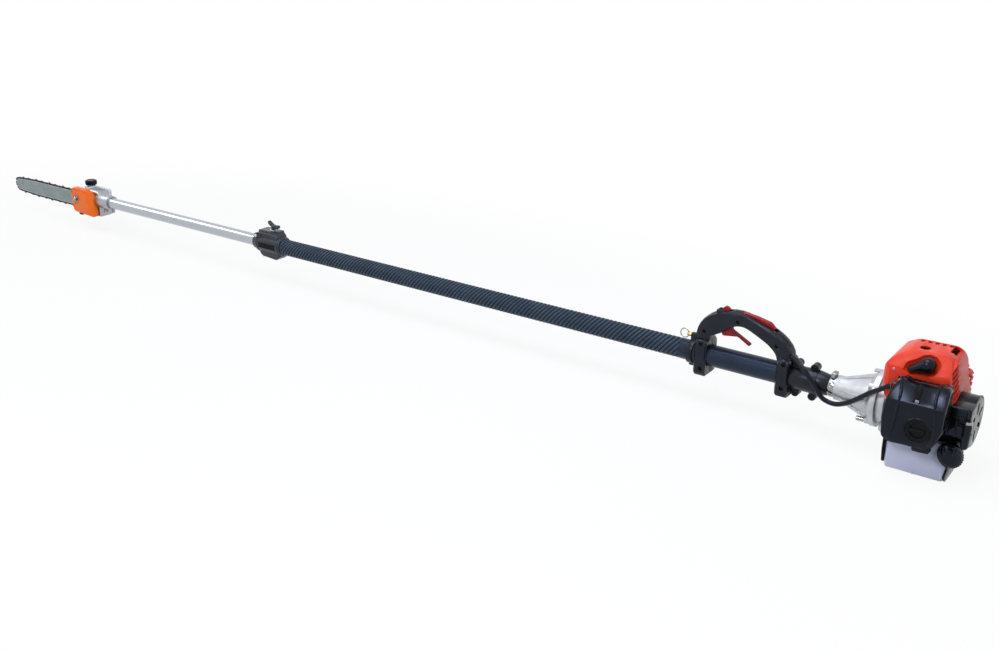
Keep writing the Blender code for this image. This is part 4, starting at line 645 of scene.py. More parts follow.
# %% [markdown]
# ## Screws
# The covers are held by socket-head screws sunk in round holes. One screw is turned, its hexagon
# is cut, and it is copied into each hole. The screw's head sits a little below the face that it
# holds.


# %% Socket screw
HOLE_DEPTH = 0.02
ROUND_SIDES, HEXAGON = 20, 6


def pin(centre, axis, length, radius, sides=ROUND_SIDES):
    """A round cutter or boss from a centre along an axis."""
    return lathe("pin", centre, axis, [(0, radius), (length, radius)], sides)


def socket_screw(name, radius, height=0.003):
    """A socket-head screw with its head at the origin of the pole's axis, facing +Z."""
    shank = radius * 0.5
    head = lathe(name, -LIFT, UP, [(-0.002, shank), (0, shank), (0, radius), (height - radius * 0.12, radius),
                                   (height, radius * 0.86)], ROUND_SIDES)
    drilled(head, lathe("hexagon", -LIFT, UP, [(height * 0.35, shank), (height + 0.002, shank)], HEXAGON))
    return rounded(head, 0)


def facing_matrix(centre, axis):
    """The matrix that brings a screw from the origin to a place, facing along an axis."""
    turn = Vector(axis).normalized().to_track_quat("Z", "Y").to_matrix().to_4x4()
    return Matrix.Translation(Vector(centre) + LIFT) @ turn


def screws(name, node, places, axis, radius, material, height=0.003):
    """Screws of one size on one node, all facing one way."""
    first = socket_screw("screw", radius, height)
    made = [copied(first, "screw", facing_matrix(place, axis)) for place in places]
    bpy.data.objects.remove(first)
    piece = gathered(name, made)
    bpy.ops.object.shade_smooth_by_angle(angle=math.radians(30))
    settle(piece, node, material, stands_for=False)


def screw_holes(places, side, deep, radius):
    """Cutters for screws on the left side, or for their hexagon nuts on the right side."""
    sides = ROUND_SIDES if side > 0 else HEXAGON
    return [pin((x, side * (y - deep), z), (0, side, 0), HOLE_DEPTH, radius, sides) for x, y, z in places]


print("screw tool ready")

# %% [markdown]
# ## Loop handle
# The handle is two shells screwed together over the grip tube. The left shell shows sunk screws,
# the right one the hexagon pockets of their nuts. The holes are drilled in the copies of the
# nodes before their edges are rounded, so that each hole gets a soft rim as well.

# %% Handle shells
LOOP_SCREWS = [(0.4415, 0.0160, 0.0546), (0.3718, 0.0160, 0.0892), (0.2897, 0.0160, 0.0585)]
LEG_SCREWS = [(0.4425, 0.0265, 0.0301), (0.2688, 0.0265, 0.0293), (0.4397, 0.0265, -0.0223),
              (0.2688, 0.0265, -0.0198)]
LOOP_SINK, LEG_SINK, CLEAR = 0.0060, 0.0065, 0.0001
for side, node in ((1, "handle_left"), (-1, "handle_right")):
    finished_copy(node, 0.0006, 30, *screw_holes(LOOP_SCREWS, side, LOOP_SINK, 0.0038),
                  *screw_holes(LEG_SCREWS, side, LEG_SINK, 0.0046))
screws("handle_screws", "handle_left", [(x, y - LOOP_SINK + CLEAR, z) for x, y, z in LOOP_SCREWS], LEFT,
       0.0030, blackened_steel)
screws("handle_leg_screws", "handle_left", [(x, y - LEG_SINK + CLEAR, z) for x, y, z in LEG_SCREWS], LEFT,
       0.0037, blackened_steel)
print("handle shells with", len(LOOP_SCREWS) + len(LEG_SCREWS), "screws")

# %% [markdown]
# ## Coupler, its screws and the slotted collar
# Behind the handle a split sleeve joins the pole to the engine. It has four lugs with a screw in
# each. Between its rubber cone and the clutch housing sits a steel band clamp, whose band has
# slots for the worm screw.

# %% Coupler
LUG_SCREWS = [(x, 0.0085, z) for x in (0.2479, 0.2140) for z in (0.0292, -0.0292)]
LUG_SINK = 0.0028
for side, node in ((1, "coupler_left"), (-1, "coupler_right")):
    finished_copy(node, 0.0008, 30, *screw_holes(LUG_SCREWS, side, LUG_SINK, 0.0050))
screws("coupler_screws", "coupler_left", [(x, y - LUG_SINK + CLEAR, z) for x, y, z in LUG_SCREWS], LEFT,
       0.0042, blackened_steel)
low, high, radius = extent("coupler_cone")
cone = ring("coupler_cone_turned", ON_AXIS, FORWARD, [
    (low, COVER_BORE), (low, 0.0192), (low + 0.0008, 0.0198), (high - 0.0016, radius - 0.0003),
    (high - 0.0008, radius - 0.0003), (high, radius - 0.0012), (high, COVER_BORE)], TUBE_SIDES)
settle(rounded(cone, 0), "coupler_cone", nylon)
SLOTS, FIRST_SLOT, SLOT_SPREAD = 14, 20, 320
slots = []
for step in range(SLOTS):
    turn = math.radians(FIRST_SLOT + SLOT_SPREAD * step / (SLOTS - 1))
    slot = sheet("slot", [(0.1742, -0.0012), (0.1802, -0.0012), (0.1802, 0.0012), (0.1742, 0.0012)], "Z",
                 0.0195, 0.0225)
    slot.data.transform(about(LIFT, Matrix.Rotation(turn, 4, "X")))
    slots.append(slot)
finished_copy("neck_collar", 0.0003, 30, gathered("collar_slots", slots))
print("collar slots:", len(slots))

# %% [markdown]
# ## Strap ring
# The shoulder strap clips to a ring of bent wire with a spring gate. The wire is one closed path,
# and a small turned barrel makes the gate's hinge.

# %% Strap ring
WIRE_RADIUS, RING_POINTS = 0.0011, 24
low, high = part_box("harness_ring")
middle = (Vector(low) + Vector(high)) / 2 - LIFT
reach = (high[0] - low[0]) / 2 - WIRE_RADIUS - 0.0001
route = []
for step in range(RING_POINTS):
    turn = math.tau * step / RING_POINTS
    route.append(middle + Vector((math.cos(turn), 0, math.sin(turn))) * reach)
settle(wire("harness_ring_wire", route, WIRE_RADIUS, 4, closed=True), "harness_ring")
hinge = lathe("harness_ring_gate", middle + Vector((0.002, 0, reach)), (1, 0, -0.2),
              [(-0.0030, 0.0013), (-0.0026, 0.0017), (0.0026, 0.0017), (0.0030, 0.0013)], 16)
trim(hinge, "harness_ring", brass)
print("ring points:", len(route))

# %% [markdown]
# ## Throttle conduit
# A stiff plastic conduit leads the throttle cable from the handle, under the coupler and up to
# the carburettor. Both ends are held, so it keeps its curve. It follows the same route as its
# node, as one smooth path, and a turned ferrule ends it where the bare cable goes on.

# %% Conduit
CONDUIT_ROUTE = [(0.2625, 0.0100, 0.0412), (0.2560, 0.0108, 0.0412), (0.2490, 0.0142, 0.0408),
                 (0.2386, 0.0225, 0.0375), (0.2236, 0.0300, 0.0285), (0.2010, 0.0310, 0.0035),
                 (0.1858, 0.0310, -0.0150), (0.1639, 0.0310, -0.0207), (0.1439, 0.0355, -0.0134),
                 (0.1249, 0.0430, 0.0005), (0.0910, 0.0560, 0.0317), (0.0739, 0.0625, 0.0448),
                 (0.0660, 0.0640, 0.0515), (0.0610, 0.0650, 0.0545), (0.0570, 0.0652, 0.0552)]


def through(points, steps=4):
    """More points of the smooth curve that passes through some points."""
    points = [Vector(point) for point in points]
    ends = [points[0] * 2 - points[1]] + points + [points[-1] * 2 - points[-2]]
    made = []
    for first, begin, end, last in zip(ends, ends[1:], ends[2:], ends[3:]):
        for step in range(steps):
            t = step / steps
            made.append(0.5 * (2 * begin + (end - first) * t
                               + (2 * first - 5 * begin + 4 * end - last) * t**2
                               + (3 * begin - first - 3 * end + last) * t**3))
    return made + [points[-1]]


CONDUIT_RADIUS = 0.0047
route = through(CONDUIT_ROUTE)
settle(wire("throttle_conduit_hose", route, CONDUIT_RADIUS, 5), "throttle_conduit", rubber)
tail = Vector(CONDUIT_ROUTE[-2]) - Vector(CONDUIT_ROUTE[-1])
trim(lathe("conduit_ferrule", CONDUIT_ROUTE[-1], tail, [
    (-0.0012, 0.0030), (-0.0012, 0.0048), (-0.0006, 0.0053), (0.0060, 0.0053), (0.0066, 0.0048)], 24),
    "throttle_conduit", cover_nylon)
print("conduit length:", round(sum((b - a).length for a, b in zip(route, route[1:])), 3), "m")

# %% [markdown]
# ## Air cleaner cover
# The black cover has a sloping top with a slot for its latch, two long ridges that run from its
# shoulders to its foot, and a round well with the choke knob. The slot is cut in a copy of the
# node, and the ridges are swept along the face, sunk for most of their thickness so that only a
# soft crest stands out.

# %% Air cleaner cover
COVER_FACE, SLOPE_TOP, SLOPE_TOP_FACE, SLOPE = 0.112, 0.095, 0.0865, 0.6375


def slope_face(z):
    """How far left the face of the air cleaner cover is at a height: sloping, then upright."""
    return min(COVER_FACE, SLOPE_TOP_FACE + SLOPE * (SLOPE_TOP - z))


def on_slope(z, out):
    """A point of the cover's middle section, at a height and a distance out of its face."""
    return slope_face(z) + out, z


SLOT_TOP, SLOT_FOOT, SLOT_DEPTH, OUTSIDE = 0.0855, 0.0570, 0.0022, 0.14
slot = sheet("latch_slot", [on_slope(SLOT_TOP, -SLOT_DEPTH), on_slope(SLOT_FOOT, -SLOT_DEPTH),
                            (OUTSIDE, SLOT_FOOT), (OUTSIDE, SLOT_TOP)], "X", -0.0085, 0.0035)
finished_copy("air_cleaner_cover", 0.0012, 28, slot)
CREST_RADIUS, CREST_SINK, CREST_DIP = 0.0030, 0.0008, 0.003


def crest(spots):
    """A rounded ridge that follows the face of the cover through (x, z) spots and dips in at its ends."""
    route = [Vector((x, slope_face(z) - CREST_SINK, z)) for x, z in spots]
    for end in (route[0], route[-1]):
        end.y -= CREST_DIP
    return wire("ridge", through(route, 3), CREST_RADIUS, 4)


LEFT_CREST = [(0.0330, 0.0890), (0.0300, 0.0800), (0.0270, 0.0700), (0.0262, 0.0610), (0.0268, 0.0480),
              (0.0290, 0.0260), (0.0320, 0.0020), (0.0355, -0.0150), (0.0365, -0.0210)]
RIGHT_CREST = [(-0.0335, 0.0890), (-0.0320, 0.0800), (-0.0318, 0.0700), (-0.0330, 0.0610), (-0.0350, 0.0480),
               (-0.0372, 0.0260), (-0.0375, 0.0080), (-0.0345, -0.0080), (-0.0290, -0.0190)]
settle(gathered("air_cleaner_ridges", [crest(LEFT_CREST), crest(RIGHT_CREST)]), "air_cleaner_cover",
       stands_for=False)
lip = sheet("air_cleaner_lip", [
    (-0.0350, -0.0220), (-0.0360, -0.0270), (-0.0330, -0.0305), (-0.0080, -0.0315), (-0.0050, -0.0280),
    (-0.0060, -0.0220)], "Y", 0.0985, COVER_FACE)
trim(lip, "air_cleaner_cover", None, 0.0015, 3)
WELL, WELL_REAR = (-0.0108, 0, 0.008), 0.1085
trim(ring("choke_well_rim", WELL, LEFT, [
    (WELL_REAR, 0.0198), (0.1118, 0.0203), (0.1131, 0.0212), (0.1131, 0.0224), (0.1118, 0.0236),
    (WELL_REAR, 0.0238)], 48), "air_cleaner_cover")
# A near-black ring laid in the well round the knob: painted shade in the recess.
trim(ring("choke_well_painted_shade", WELL, LEFT, [
    (WELL_REAR, 0.0140), (0.1122, 0.0140), (0.1122, 0.0199), (WELL_REAR, 0.0199)], 40),
    "air_cleaner_cover", dull_black)
print("cover ridges, lip and choke well ready")

# %% [markdown]
# The latch is a black strap in the slot with a bright wire spring at its lower end.

# %% Latch
strap = sheet("latch_strap", [
    on_slope(0.0845, -0.0030), on_slope(0.0845, -0.0006), on_slope(0.0740, 0.0002), on_slope(0.0700, -0.0008),
    on_slope(0.0620, -0.0006), on_slope(0.0620, -0.0030)], "X", -0.0062, 0.0012)
trim(strap, "air_cleaner_cover", dull_black, 0.0005)
COIL = [on_slope(0.0615, -0.0012), on_slope(0.0600, 0.0006), on_slope(0.0575, 0.0004),
        on_slope(0.0562, -0.0012)]
COIL_PLACES, COIL_WIRE = (-0.0052, -0.0036, -0.0020, -0.0004), 0.0005
spring = [wire("coil", [(x, y, z) for y, z in COIL], COIL_WIRE) for x in COIL_PLACES]
settle(gathered("latch_spring", spring), "air_cleaner_cover", chrome, stands_for=False)
print("latch ready")

# %% [markdown]
# ## Hood
# The red hood keeps its node's shape. Its louvres have lips that stand out from the rear wall and
# follow its lean, and the step behind the top is cut open as on the real hood. The small screw is
# set where a straight line from the left meets the hood.

# %% Hood
pocket = sheet("hood_pocket", [(-0.0190, 0.1300), (-0.0205, 0.1172), (-0.0290, 0.1130), (-0.0360, 0.1130),
                               (-0.0360, 0.1300)], "Y", -0.0285, 0.0060)
hood = finished_copy("engine_cover", 0.0011, 24, pocket)
WALL_KNEE, KNEE_BACK = 0.072, -0.042


def rear_face(z):
    """How far back the hood's rear wall is at a height. It leans more below its knee."""
    return KNEE_BACK + (z - WALL_KNEE) * (0.154 if z > WALL_KNEE else 0.227)


LIPS, LOWEST_LIP, LIP_STEP, HALF_LIP = 7, 0.0514, 0.0093, 0.0014
LIP_TILT = Matrix.Rotation(-math.radians(28), 4, "X")
LIP_OUTLINE = [(0.0040, 0.0140), (-0.0030, 0.0150), (-0.0040, 0.0300), (-0.0022, 0.0450), (0.0040, 0.0470)]
lips = []
for step in range(LIPS):
    z = LOWEST_LIP + LIP_STEP * step
    lip = sheet("louvre_lip", [(rear_face(z) + x, y) for x, y in LIP_OUTLINE], "Z",
                z - HALF_LIP, z + HALF_LIP)
    lip.data.transform(about((0, 0.030, z + AXIS), LIP_TILT))
    lips.append(rounded(lip, 0.0009))
settle(gathered("hood_louvre_lips", lips), "engine_cover", stands_for=False)
_, spot, normal, _ = hood.ray_cast(Vector((0.0570, 0.2, 0.0870)) + LIFT, -Vector(LEFT))
screws("hood_screws", "engine_cover", [spot - LIFT - normal * 0.0008], normal, 0.0022, machined_steel, 0.0016)
print("louvre lips:", len(lips))

# %% [markdown]
# ## Clutch housing
# The cast cone between the engine and the pole is stiffened by ribs from its neck to its flange.
# One rib is cut from sheet and copied round the axis, and a bright screw holds the flange at its
# lower left.


# %% Clutch housing
finished_copy("clutch_housing", 0.0010, 24)
rib = sheet("rib", [(0.1010, 0.0400), (0.1010, 0.0470), (0.1060, 0.0455), (0.1560, 0.0262), (0.1560, 0.0225)],
            "Y", -0.0016, 0.0016)
rounded(rib, 0.0008)
ribs = [copied(rib, "rib", about(LIFT, Matrix.Rotation(-math.radians(turn), 4, "X")))
        for turn in (15, 75, 120, 165, 225, 270, 315)]
bpy.data.objects.remove(rib)
settle(gathered("clutch_housing_ribs", ribs), "clutch_housing", stands_for=False)
boss = sheet("housing_boss", [(-0.0125, 0.0470), (0.0010, 0.0488), (0.0010, 0.0540), (-0.0100, 0.0530),
                              (-0.0125, 0.0500)], "X", 0.0940, 0.1060)
trim(boss, "clutch_housing", None, 0.0012)
trim(lathe("housing_long_screw", (0, 0.0343, -0.0343), FORWARD, [
    (0.0990, 0.0030), (0.1035, 0.0030), (0.1035, 0.0046), (0.1165, 0.0046), (0.1172, 0.0040)], 24),
    "clutch_housing", chrome)
print("housing ribs:", len(ribs))

# %% [markdown]
# ## Recoil starter
# The starter's drum has raised bands, and its bracket is ribbed. The pull grip is a slim moulding
# with finger grooves and a bright ferrule where the rope enters.

# %% Starter
finished_copy("starter_housing", 0.0006, 28)
BAND_FOOT, BAND_CREST, BAND_WIDTH = 0.0470, 0.0490, 0.0028
bands = []
for x in (-0.0795, -0.0600, -0.0420):
    band = ring("band", ON_AXIS, FORWARD, [
        (x, BAND_FOOT), (x, BAND_CREST - 0.0006), (x + 0.0006, BAND_CREST),
        (x + BAND_WIDTH - 0.0006, BAND_CREST), (x + BAND_WIDTH, BAND_CREST - 0.0006),
        (x + BAND_WIDTH, BAND_FOOT)], 64)
    keep = sheet("keep", [(-0.06, -0.03), (0.0300, -0.03), (0.0430, 0.0000), (0.0300, 0.06), (-0.06, 0.06)],
                 "X", -0.1, 0.0)
    bands.append(rounded(drilled(band, keep, keep="INTERSECT"), 0))
settle(gathered("starter_bands", bands), "starter_housing", stands_for=False)
BRACKET_FACE = 0.0540
struts = []
for rear, front, foot, head, face in (
        (-0.0780, -0.0752, -0.0110, 0.0420, 0.0590), (-0.0610, -0.0582, -0.0110, 0.0420, 0.0590),
        (-0.0475, -0.0450, -0.0110, 0.0420, 0.0590), (-0.0780, -0.0450, 0.0260, 0.0290, 0.0585)):
    strut = sheet("strut", [(rear, foot), (front, foot), (front, head), (rear, head)], "Y",
                  BRACKET_FACE, face)
    struts.append(rounded(strut, 0.0008))
settle(gathered("starter_bracket_ribs", struts), "starter_housing", stands_for=False)
print("starter bands:", len(bands), "bracket ribs:", len(struts))

# %% Pull grip
GRIP_PLACE, GRIP_SIDES = (-0.0805, 0.0673, 0.0015), 28
GROOVES, GROOVE_STEP, FINGER_DEPTH = 8, 0.0050, 0.0009
GIRTH, SWELL = 0.0068, 0.00012
profile = [(-0.0250, 0.0028), (-0.0245, 0.0042), (-0.0225, 0.0058)]
for step in range(GROOVES):
    z = -0.0190 + GROOVE_STEP * step
    girth = GIRTH + SWELL * step * (1.0 if step < 6 else 0.4)
    profile += [(z - 0.0010, girth), (z + 0.0010, girth), (z + 0.0018, girth - FINGER_DEPTH),
                (z + 0.0028, girth - FINGER_DEPTH)]
profile += [(0.0215, 0.0066), (0.0240, 0.0058)]
trim(lathe("starter_grip_moulding", GRIP_PLACE, UP, profile, GRIP_SIDES), "starter_grip")
trim(lathe("starter_grip_ferrule", GRIP_PLACE, UP, [
    (0.0225, 0.0066), (0.0262, 0.0066), (0.0272, 0.0058), (0.0275, 0.0035)], GRIP_SIDES),
    "starter_grip", chrome)
finished_copy("starter_grip")
print("finger grooves:", GROOVES)

# %% [markdown]
# ## Tanks and caps
# The fuel tank is one blow-moulding with a weld seam round its middle. Its cap is turned with a
# low dome, gets small grip ribs round its skirt and three crossing bars on its top for the
# fingers. The oil cap is a knurled disc.

# %% Fuel tank and its cap
finished_copy("fuel_tank", 0.0, 40)
CAP_SEAT = Vector((-0.0535, 0.0555, -0.0510))
CAP_AXIS = Vector((-0.62, 0.48, 0.62)).normalized()
dome = lathe("fuel_cap_dome", CAP_SEAT, CAP_AXIS, [
    (-0.0060, 0.0120), (0.0043, 0.0120), (0.0043, 0.0220), (0.0052, 0.0232), (0.0070, 0.0232),
    (0.0125, 0.0226), (0.0158, 0.0216), (0.0172, 0.0206), (0.0178, 0.0188), (0.0184, 0.0186),
    (0.0205, 0.0160), (0.0220, 0.0110), (0.0226, 0.0050)], 56)
settle(rounded(dome, 0, angle=24), "fuel_cap", cover_nylon)


def knurls(name, centre, axis, radius, low, high, count, size):
    """Small rounded ribs copied round a cap's skirt."""
    axis = Vector(axis).normalized()
    side = axis.orthogonal().normalized()
    middle = Vector(centre)
    route = [(low, radius - size), (low + size, radius), ((low + high) / 2, radius), (high - size, radius),
             (high, radius - size)]
    first = wire("knurl", [middle + axis * along + side * out for along, out in route], size, 2)
    made = [copied(first, "knurl", about(middle + LIFT, Matrix.Rotation(math.tau * step / count, 4, axis)))
            for step in range(count)]
    bpy.data.objects.remove(first)
    return gathered(name, made)


settle(knurls("fuel_cap_knurls", CAP_SEAT, CAP_AXIS, 0.0228, 0.0052, 0.0155, 30, 0.0009), "fuel_cap",
       stands_for=False)
across = CAP_AXIS.cross(Vector(UP)).normalized()
top = CAP_SEAT + CAP_AXIS * 0.0212
BAR_ROUTE = [(-0.0140, 0.0034), (-0.0100, 0.0002), (0, 0), (0.0100, 0.0002), (0.0140, 0.0034)]
for letter, turn in (("a", 35), ("b", -35), ("c", 90)):
    way = Matrix.Rotation(math.radians(turn), 3, CAP_AXIS) @ across
    route = [top + way * out - CAP_AXIS * drop for out, drop in BAR_ROUTE]
    settle(wire("fuel_cap_bar_" + letter, route, 0.0024, 4), "fuel_cap", cover_nylon, stands_for=False)
print("fuel cap ready")

# %% Oil cap
low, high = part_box("oil_cap")
OIL_CAP_HEIGHT = 0.015
cap_foot = ((low[0] + high[0]) / 2, (low[1] + high[1]) / 2, high[2] - AXIS - OIL_CAP_HEIGHT)
oil_dome = lathe("oil_cap_dome", cap_foot, UP, [
    (-0.0060, 0.0088), (0, 0.0088), (0, 0.0155), (0.0010, 0.0163), (0.0120, 0.0163), (0.0140, 0.0150),
    (0.0148, 0.0130), (0.0148, 0.0110), (0.0138, 0.0100)], 48)
settle(rounded(oil_dome, 0, angle=24), "oil_cap", cover_nylon)
settle(knurls("oil_cap_knurls", cap_foot, UP, 0.0162, 0.0006, 0.0132, 26, 0.0010), "oil_cap", cover_nylon,
       stands_for=False)
print("oil cap ready")

# %% [markdown]
# ## Saw chain
# A saw chain is riveted from three kinds of links: drive links that run in the bar's groove,
# plain tie straps, and cutters with a raised tooth, left and right in turn. One of each is made
# along the X axis, as sheet parts with rivets, and copied along the loop that the node follows.

# %% Chain links
STRAP_HEIGHT, RIVET_RADIUS = 0.0046, 0.0014


def riveted(name, outline, thick, offset):
    """A strap of a given outline, at an offset from the chain's middle plane."""
    return rounded(sheet(name, outline, "Y", offset - thick / 2, offset + thick / 2), 0.0002, 1)


def arc(centre, radius, first, last, steps):
    """Points along an arc, with its angles in degrees."""
    turns = [math.radians(first + (last - first) * step / steps) for step in range(steps + 1)]
    return [(centre[0] + radius * math.cos(turn), centre[1] + radius * math.sin(turn)) for turn in turns]


def link_outline(length, waist):
    """A figure-eight strap between two rivets."""
    end = STRAP_HEIGHT / 2
    return (arc((-length / 2, 0), end, 90, 270, 6) + [(0, -waist)]
            + arc((length / 2, 0), end, -90, 90, 6) + [(0, waist)])


def unit(kind, pitch):
    """One link of the chain, its middle on the X axis at the pole's axis."""
    parts = []
    if kind == "drive":
        parts.append(riveted("plate", link_outline(pitch, 0.0019), 0.0016, 0))
    else:
        for side in (-1, 1):
            parts.append(riveted("plate", link_outline(pitch, 0.0015), 0.0012, side * 0.0016))
            for end in (-1, 1):
                parts.append(lathe("rivet", (end * pitch / 2, 0, 0), (0, side, 0), [
                    (0, RIVET_RADIUS), (0.0027, RIVET_RADIUS), (0.0030, 0.0009)], 8))
    if kind in ("left", "right"):
        side = 1 if kind == "left" else -1
        tooth = [(-0.0036, 0.0010), (-0.0042, 0.0042), (-0.0020, 0.0044), (0.0002, 0.0034), (0.0002, 0.0018),
                 (0.0020, 0.0016), (0.0026, 0.0036), (0.0040, 0.0034), (0.0042, 0.0008)]
        parts.append(riveted("tooth", tooth, 0.0013, side * 0.0017))
        parts.append(riveted("tooth_top", [(-0.0044, 0.0036), (-0.0044, 0.0045), (-0.0006, 0.0040),
                                           (-0.0004, 0.0034)], 0.0042, side * 0.0012))
    return gathered("link_" + kind, parts)


print("link maker ready")

# %% [markdown]
# The loop goes round the sprocket, along the bar and round its nose. Rivets are set out along it
# at even steps, and each link is turned to reach from one rivet to the next.

# %% Chain on its loop
# The chain's middle plane, the sprocket's radius, how far the bar lies below the pole's axis,
# half its height, the radius of its nose, and where it starts to narrow towards the nose.
BAR_PLANE, SPROCKET_ROUND, DROP, HALF, NOSE, TAPER = 0.0145, 0.0135, 0.006, 0.0213, 0.0175, 0.105
LOOP_RISE, CHAIN_OUT, BAR_REAR = 0.0028, 0.0065, 0.030
low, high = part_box("saw_chain")
GEAR_AT = low[0] + SPROCKET_ROUND + CHAIN_OUT
TIP_AT = high[0] - CHAIN_OUT
raised = HALF + LOOP_RISE
LOOP = (arc((GEAR_AT, 0), SPROCKET_ROUND + LOOP_RISE, 100, 260, 12)
        + [(GEAR_AT + BAR_REAR, -DROP - raised), (TIP_AT - TAPER, -DROP - raised)]
        + arc((TIP_AT - NOSE, -DROP), NOSE + LOOP_RISE, -80, 80, 12)
        + [(TIP_AT - TAPER, -DROP + raised), (GEAR_AT + BAR_REAR, -DROP + raised)])


def along_loop(points, pieces):
    """Evenly spaced points along a closed outline."""
    spans = [(Vector(a), Vector(b)) for a, b in zip(points, points[1:] + points[:1])]
    total = sum((b - a).length for a, b in spans)
    marks, passed, index = [], 0.0, 0
    for piece in range(pieces):
        goal = total * piece / pieces
        while passed + (spans[index][1] - spans[index][0]).length < goal:
            passed += (spans[index][1] - spans[index][0]).length
            index += 1
        a, b = spans[index]
        marks.append(a.lerp(b, (goal - passed) / (b - a).length))
    return marks, total


LINK_LENGTH = 0.0093
ORDER = ("left", "drive", "tie", "drive", "right", "drive", "tie", "drive")
total = along_loop(LOOP, len(ORDER))[1]
LINKS = len(ORDER) * round(total / len(ORDER) / LINK_LENGTH)
rivets = along_loop(LOOP, LINKS)[0]
models = {kind: unit(kind, total / LINKS) for kind in ("left", "right", "drive", "tie")}
links = []
for number, (here, there) in enumerate(zip(rivets, rivets[1:] + rivets[:1])):
    middle, way = (here + there) / 2, (there - here).normalized()
    turned_link = Matrix(((way.x, 0, way.y), (0, -1, 0), (way.y, 0, -way.x))).to_4x4()
    stand = Matrix.Translation((middle.x, BAR_PLANE, middle.y + AXIS)) @ turned_link
    links.append(copied(models[ORDER[number % len(ORDER)]], "link", stand @ Matrix.Translation(-LIFT)))
for model in models.values():
    bpy.data.objects.remove(model)
settle(gathered("saw_chain_links", links), "saw_chain")
bpy.ops.object.shade_smooth_by_angle(angle=math.radians(30))
print("links:", LINKS, "link length:", round(total / LINKS * 1000, 2), "mm")

# %% [markdown]
# ## Guide bar
# The bar is ground steel. Its edges, the rails that the chain runs on, are hardened and worn
# bright, and three rivets hold the sprocket in its nose.

# %% Guide bar
def bar_outline(inset):
    """Outline of the bar, drawn inward."""
    rear, half = GEAR_AT + SPROCKET_ROUND + HEEL_GAP + inset, HALF - inset
    return ([(rear, -DROP + HEEL - inset / 2), (rear, -DROP - HEEL + inset / 2),
             (rear + SHOULDER, -DROP - half), (TIP_AT - TAPER, -DROP - half)]
            + arc((TIP_AT - NOSE, -DROP), NOSE - inset, -80, 80, 16)
            + [(TIP_AT - TAPER, -DROP + half), (rear + SHOULDER, -DROP + half)])


HEEL_GAP, HEEL, SHOULDER = 0.006, 0.012, 0.014
RAIL_WIDTH, HALF_THICK, NOSE_RIVETS, RIVET_CIRCLE = 0.0022, 0.00175, 0.030, 0.0058
finished_copy("guide_bar")
rails = sheet("guide_bar_rails", bar_outline(0.00005), "Y", BAR_PLANE - HALF_THICK, BAR_PLANE + HALF_THICK)
drilled(rails, sheet("inside", bar_outline(RAIL_WIDTH), "Y", BAR_PLANE - 0.01, BAR_PLANE + 0.01))
trim(rails, "guide_bar", machined_steel, 0.00012, 1)
heads = [lathe("rivet", (x, BAR_PLANE, z), (0, side, 0), [
    (0.0010, RIVET_RADIUS), (HALF_THICK, RIVET_RADIUS), (0.00190, 0.0009)], 14)
    for x, z in arc((TIP_AT - NOSE_RIVETS, -DROP), RIVET_CIRCLE, 90, 330, 2) for side in (1, -1)]
settle(gathered("guide_bar_rivets", heads), "guide_bar", machined_steel, stands_for=False)
print("bar rails and", len(heads), "rivet heads")

# %% [markdown]
# ## Sprocket cover
# The orange cover is a shell with a raised panel on its face and a rounded brow along its upper
# edge. The nut that holds it sits in a shallow well on a washer, and a black foot closes the
# cover's lower edge.

# %% Sprocket cover
low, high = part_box("sprocket_cover")
front, rear, face = high[0], low[0], high[1]
nut_low, nut_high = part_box("bar_nut")
nut = ((nut_low[0] + nut_high[0]) / 2, (nut_low[2] + nut_high[2]) / 2 - AXIS)
WELL_DEPTH, WELL_RADIUS, WELL_SIDES = 0.0012, 0.0118, 40
finished_copy("sprocket_cover", 0.0012, 28,
              pin((nut[0], face - WELL_DEPTH, nut[1]), LEFT, 0.01, WELL_RADIUS, WELL_SIDES))
panel = sheet("sprocket_cover_panel", [
    (front - 0.0360, 0.0215), (front - 0.0420, 0.0150), (front - 0.0420, -0.0200), (front - 0.0390, -0.0380),
    (rear + 0.0100, -0.0405), (rear + 0.0080, -0.0300), (rear + 0.0105, 0.0060), (rear + 0.0190, 0.0170),
    (rear + 0.0400, 0.0250), (front - 0.0450, 0.0250)], "Y", face - 0.0010, face + 0.0012)
trim(panel, "sprocket_cover", None, 0.0010, 3)
BROW = [(rear + 0.0140, face - 0.0016, 0.0210), (rear + 0.0330, face - 0.0006, 0.0300),
        (front - 0.0300, face - 0.0006, 0.0302), (front - 0.0130, face - 0.0006, 0.0298),
        (front - 0.0035, face - 0.0008, 0.0215), (front - 0.0030, face - 0.0016, 0.0100)]
settle(wire("sprocket_cover_brow", through(BROW), 0.0019, 4), "sprocket_cover", stands_for=False)
nut_seat = (nut[0], face, nut[1])
trim(ring("bar_nut_washer", nut_seat, LEFT, [
    (-WELL_DEPTH, 0.0045), (-WELL_DEPTH, 0.0108), (0.0000, 0.0108), (0.0002, 0.0104), (0.0002, 0.0045)],
    WELL_SIDES), "bar_nut", chrome)
settle(rounded(ring("bar_nut_hexagon", nut_seat, LEFT, [
    (0.0003, 0.0078), (0.0008, 0.0082), (0.0056, 0.0082), (0.0064, 0.0074), (0.0064, 0.0044),
    (0.0003, 0.0044)], HEXAGON), 0), "bar_nut")
foot = sheet("sprocket_cover_foot", [
    (front - 0.0230, -0.0430), (front - 0.0250, -0.0490), (front - 0.0290, -0.0508),
    (front - 0.0400, -0.0505), (front - 0.0430, -0.0440)], "Y", face - 0.0150, face - 0.0030)
trim(foot, "sprocket_cover", dull_black, 0.0012)
print("cover panel, nut and foot ready")

# %% [markdown]
# ## Gear case
# The saw's gear case is a bright casting with a clamped socket for the pole. Cover screws sit in
# its corners, and low cooling ribs cross its top.

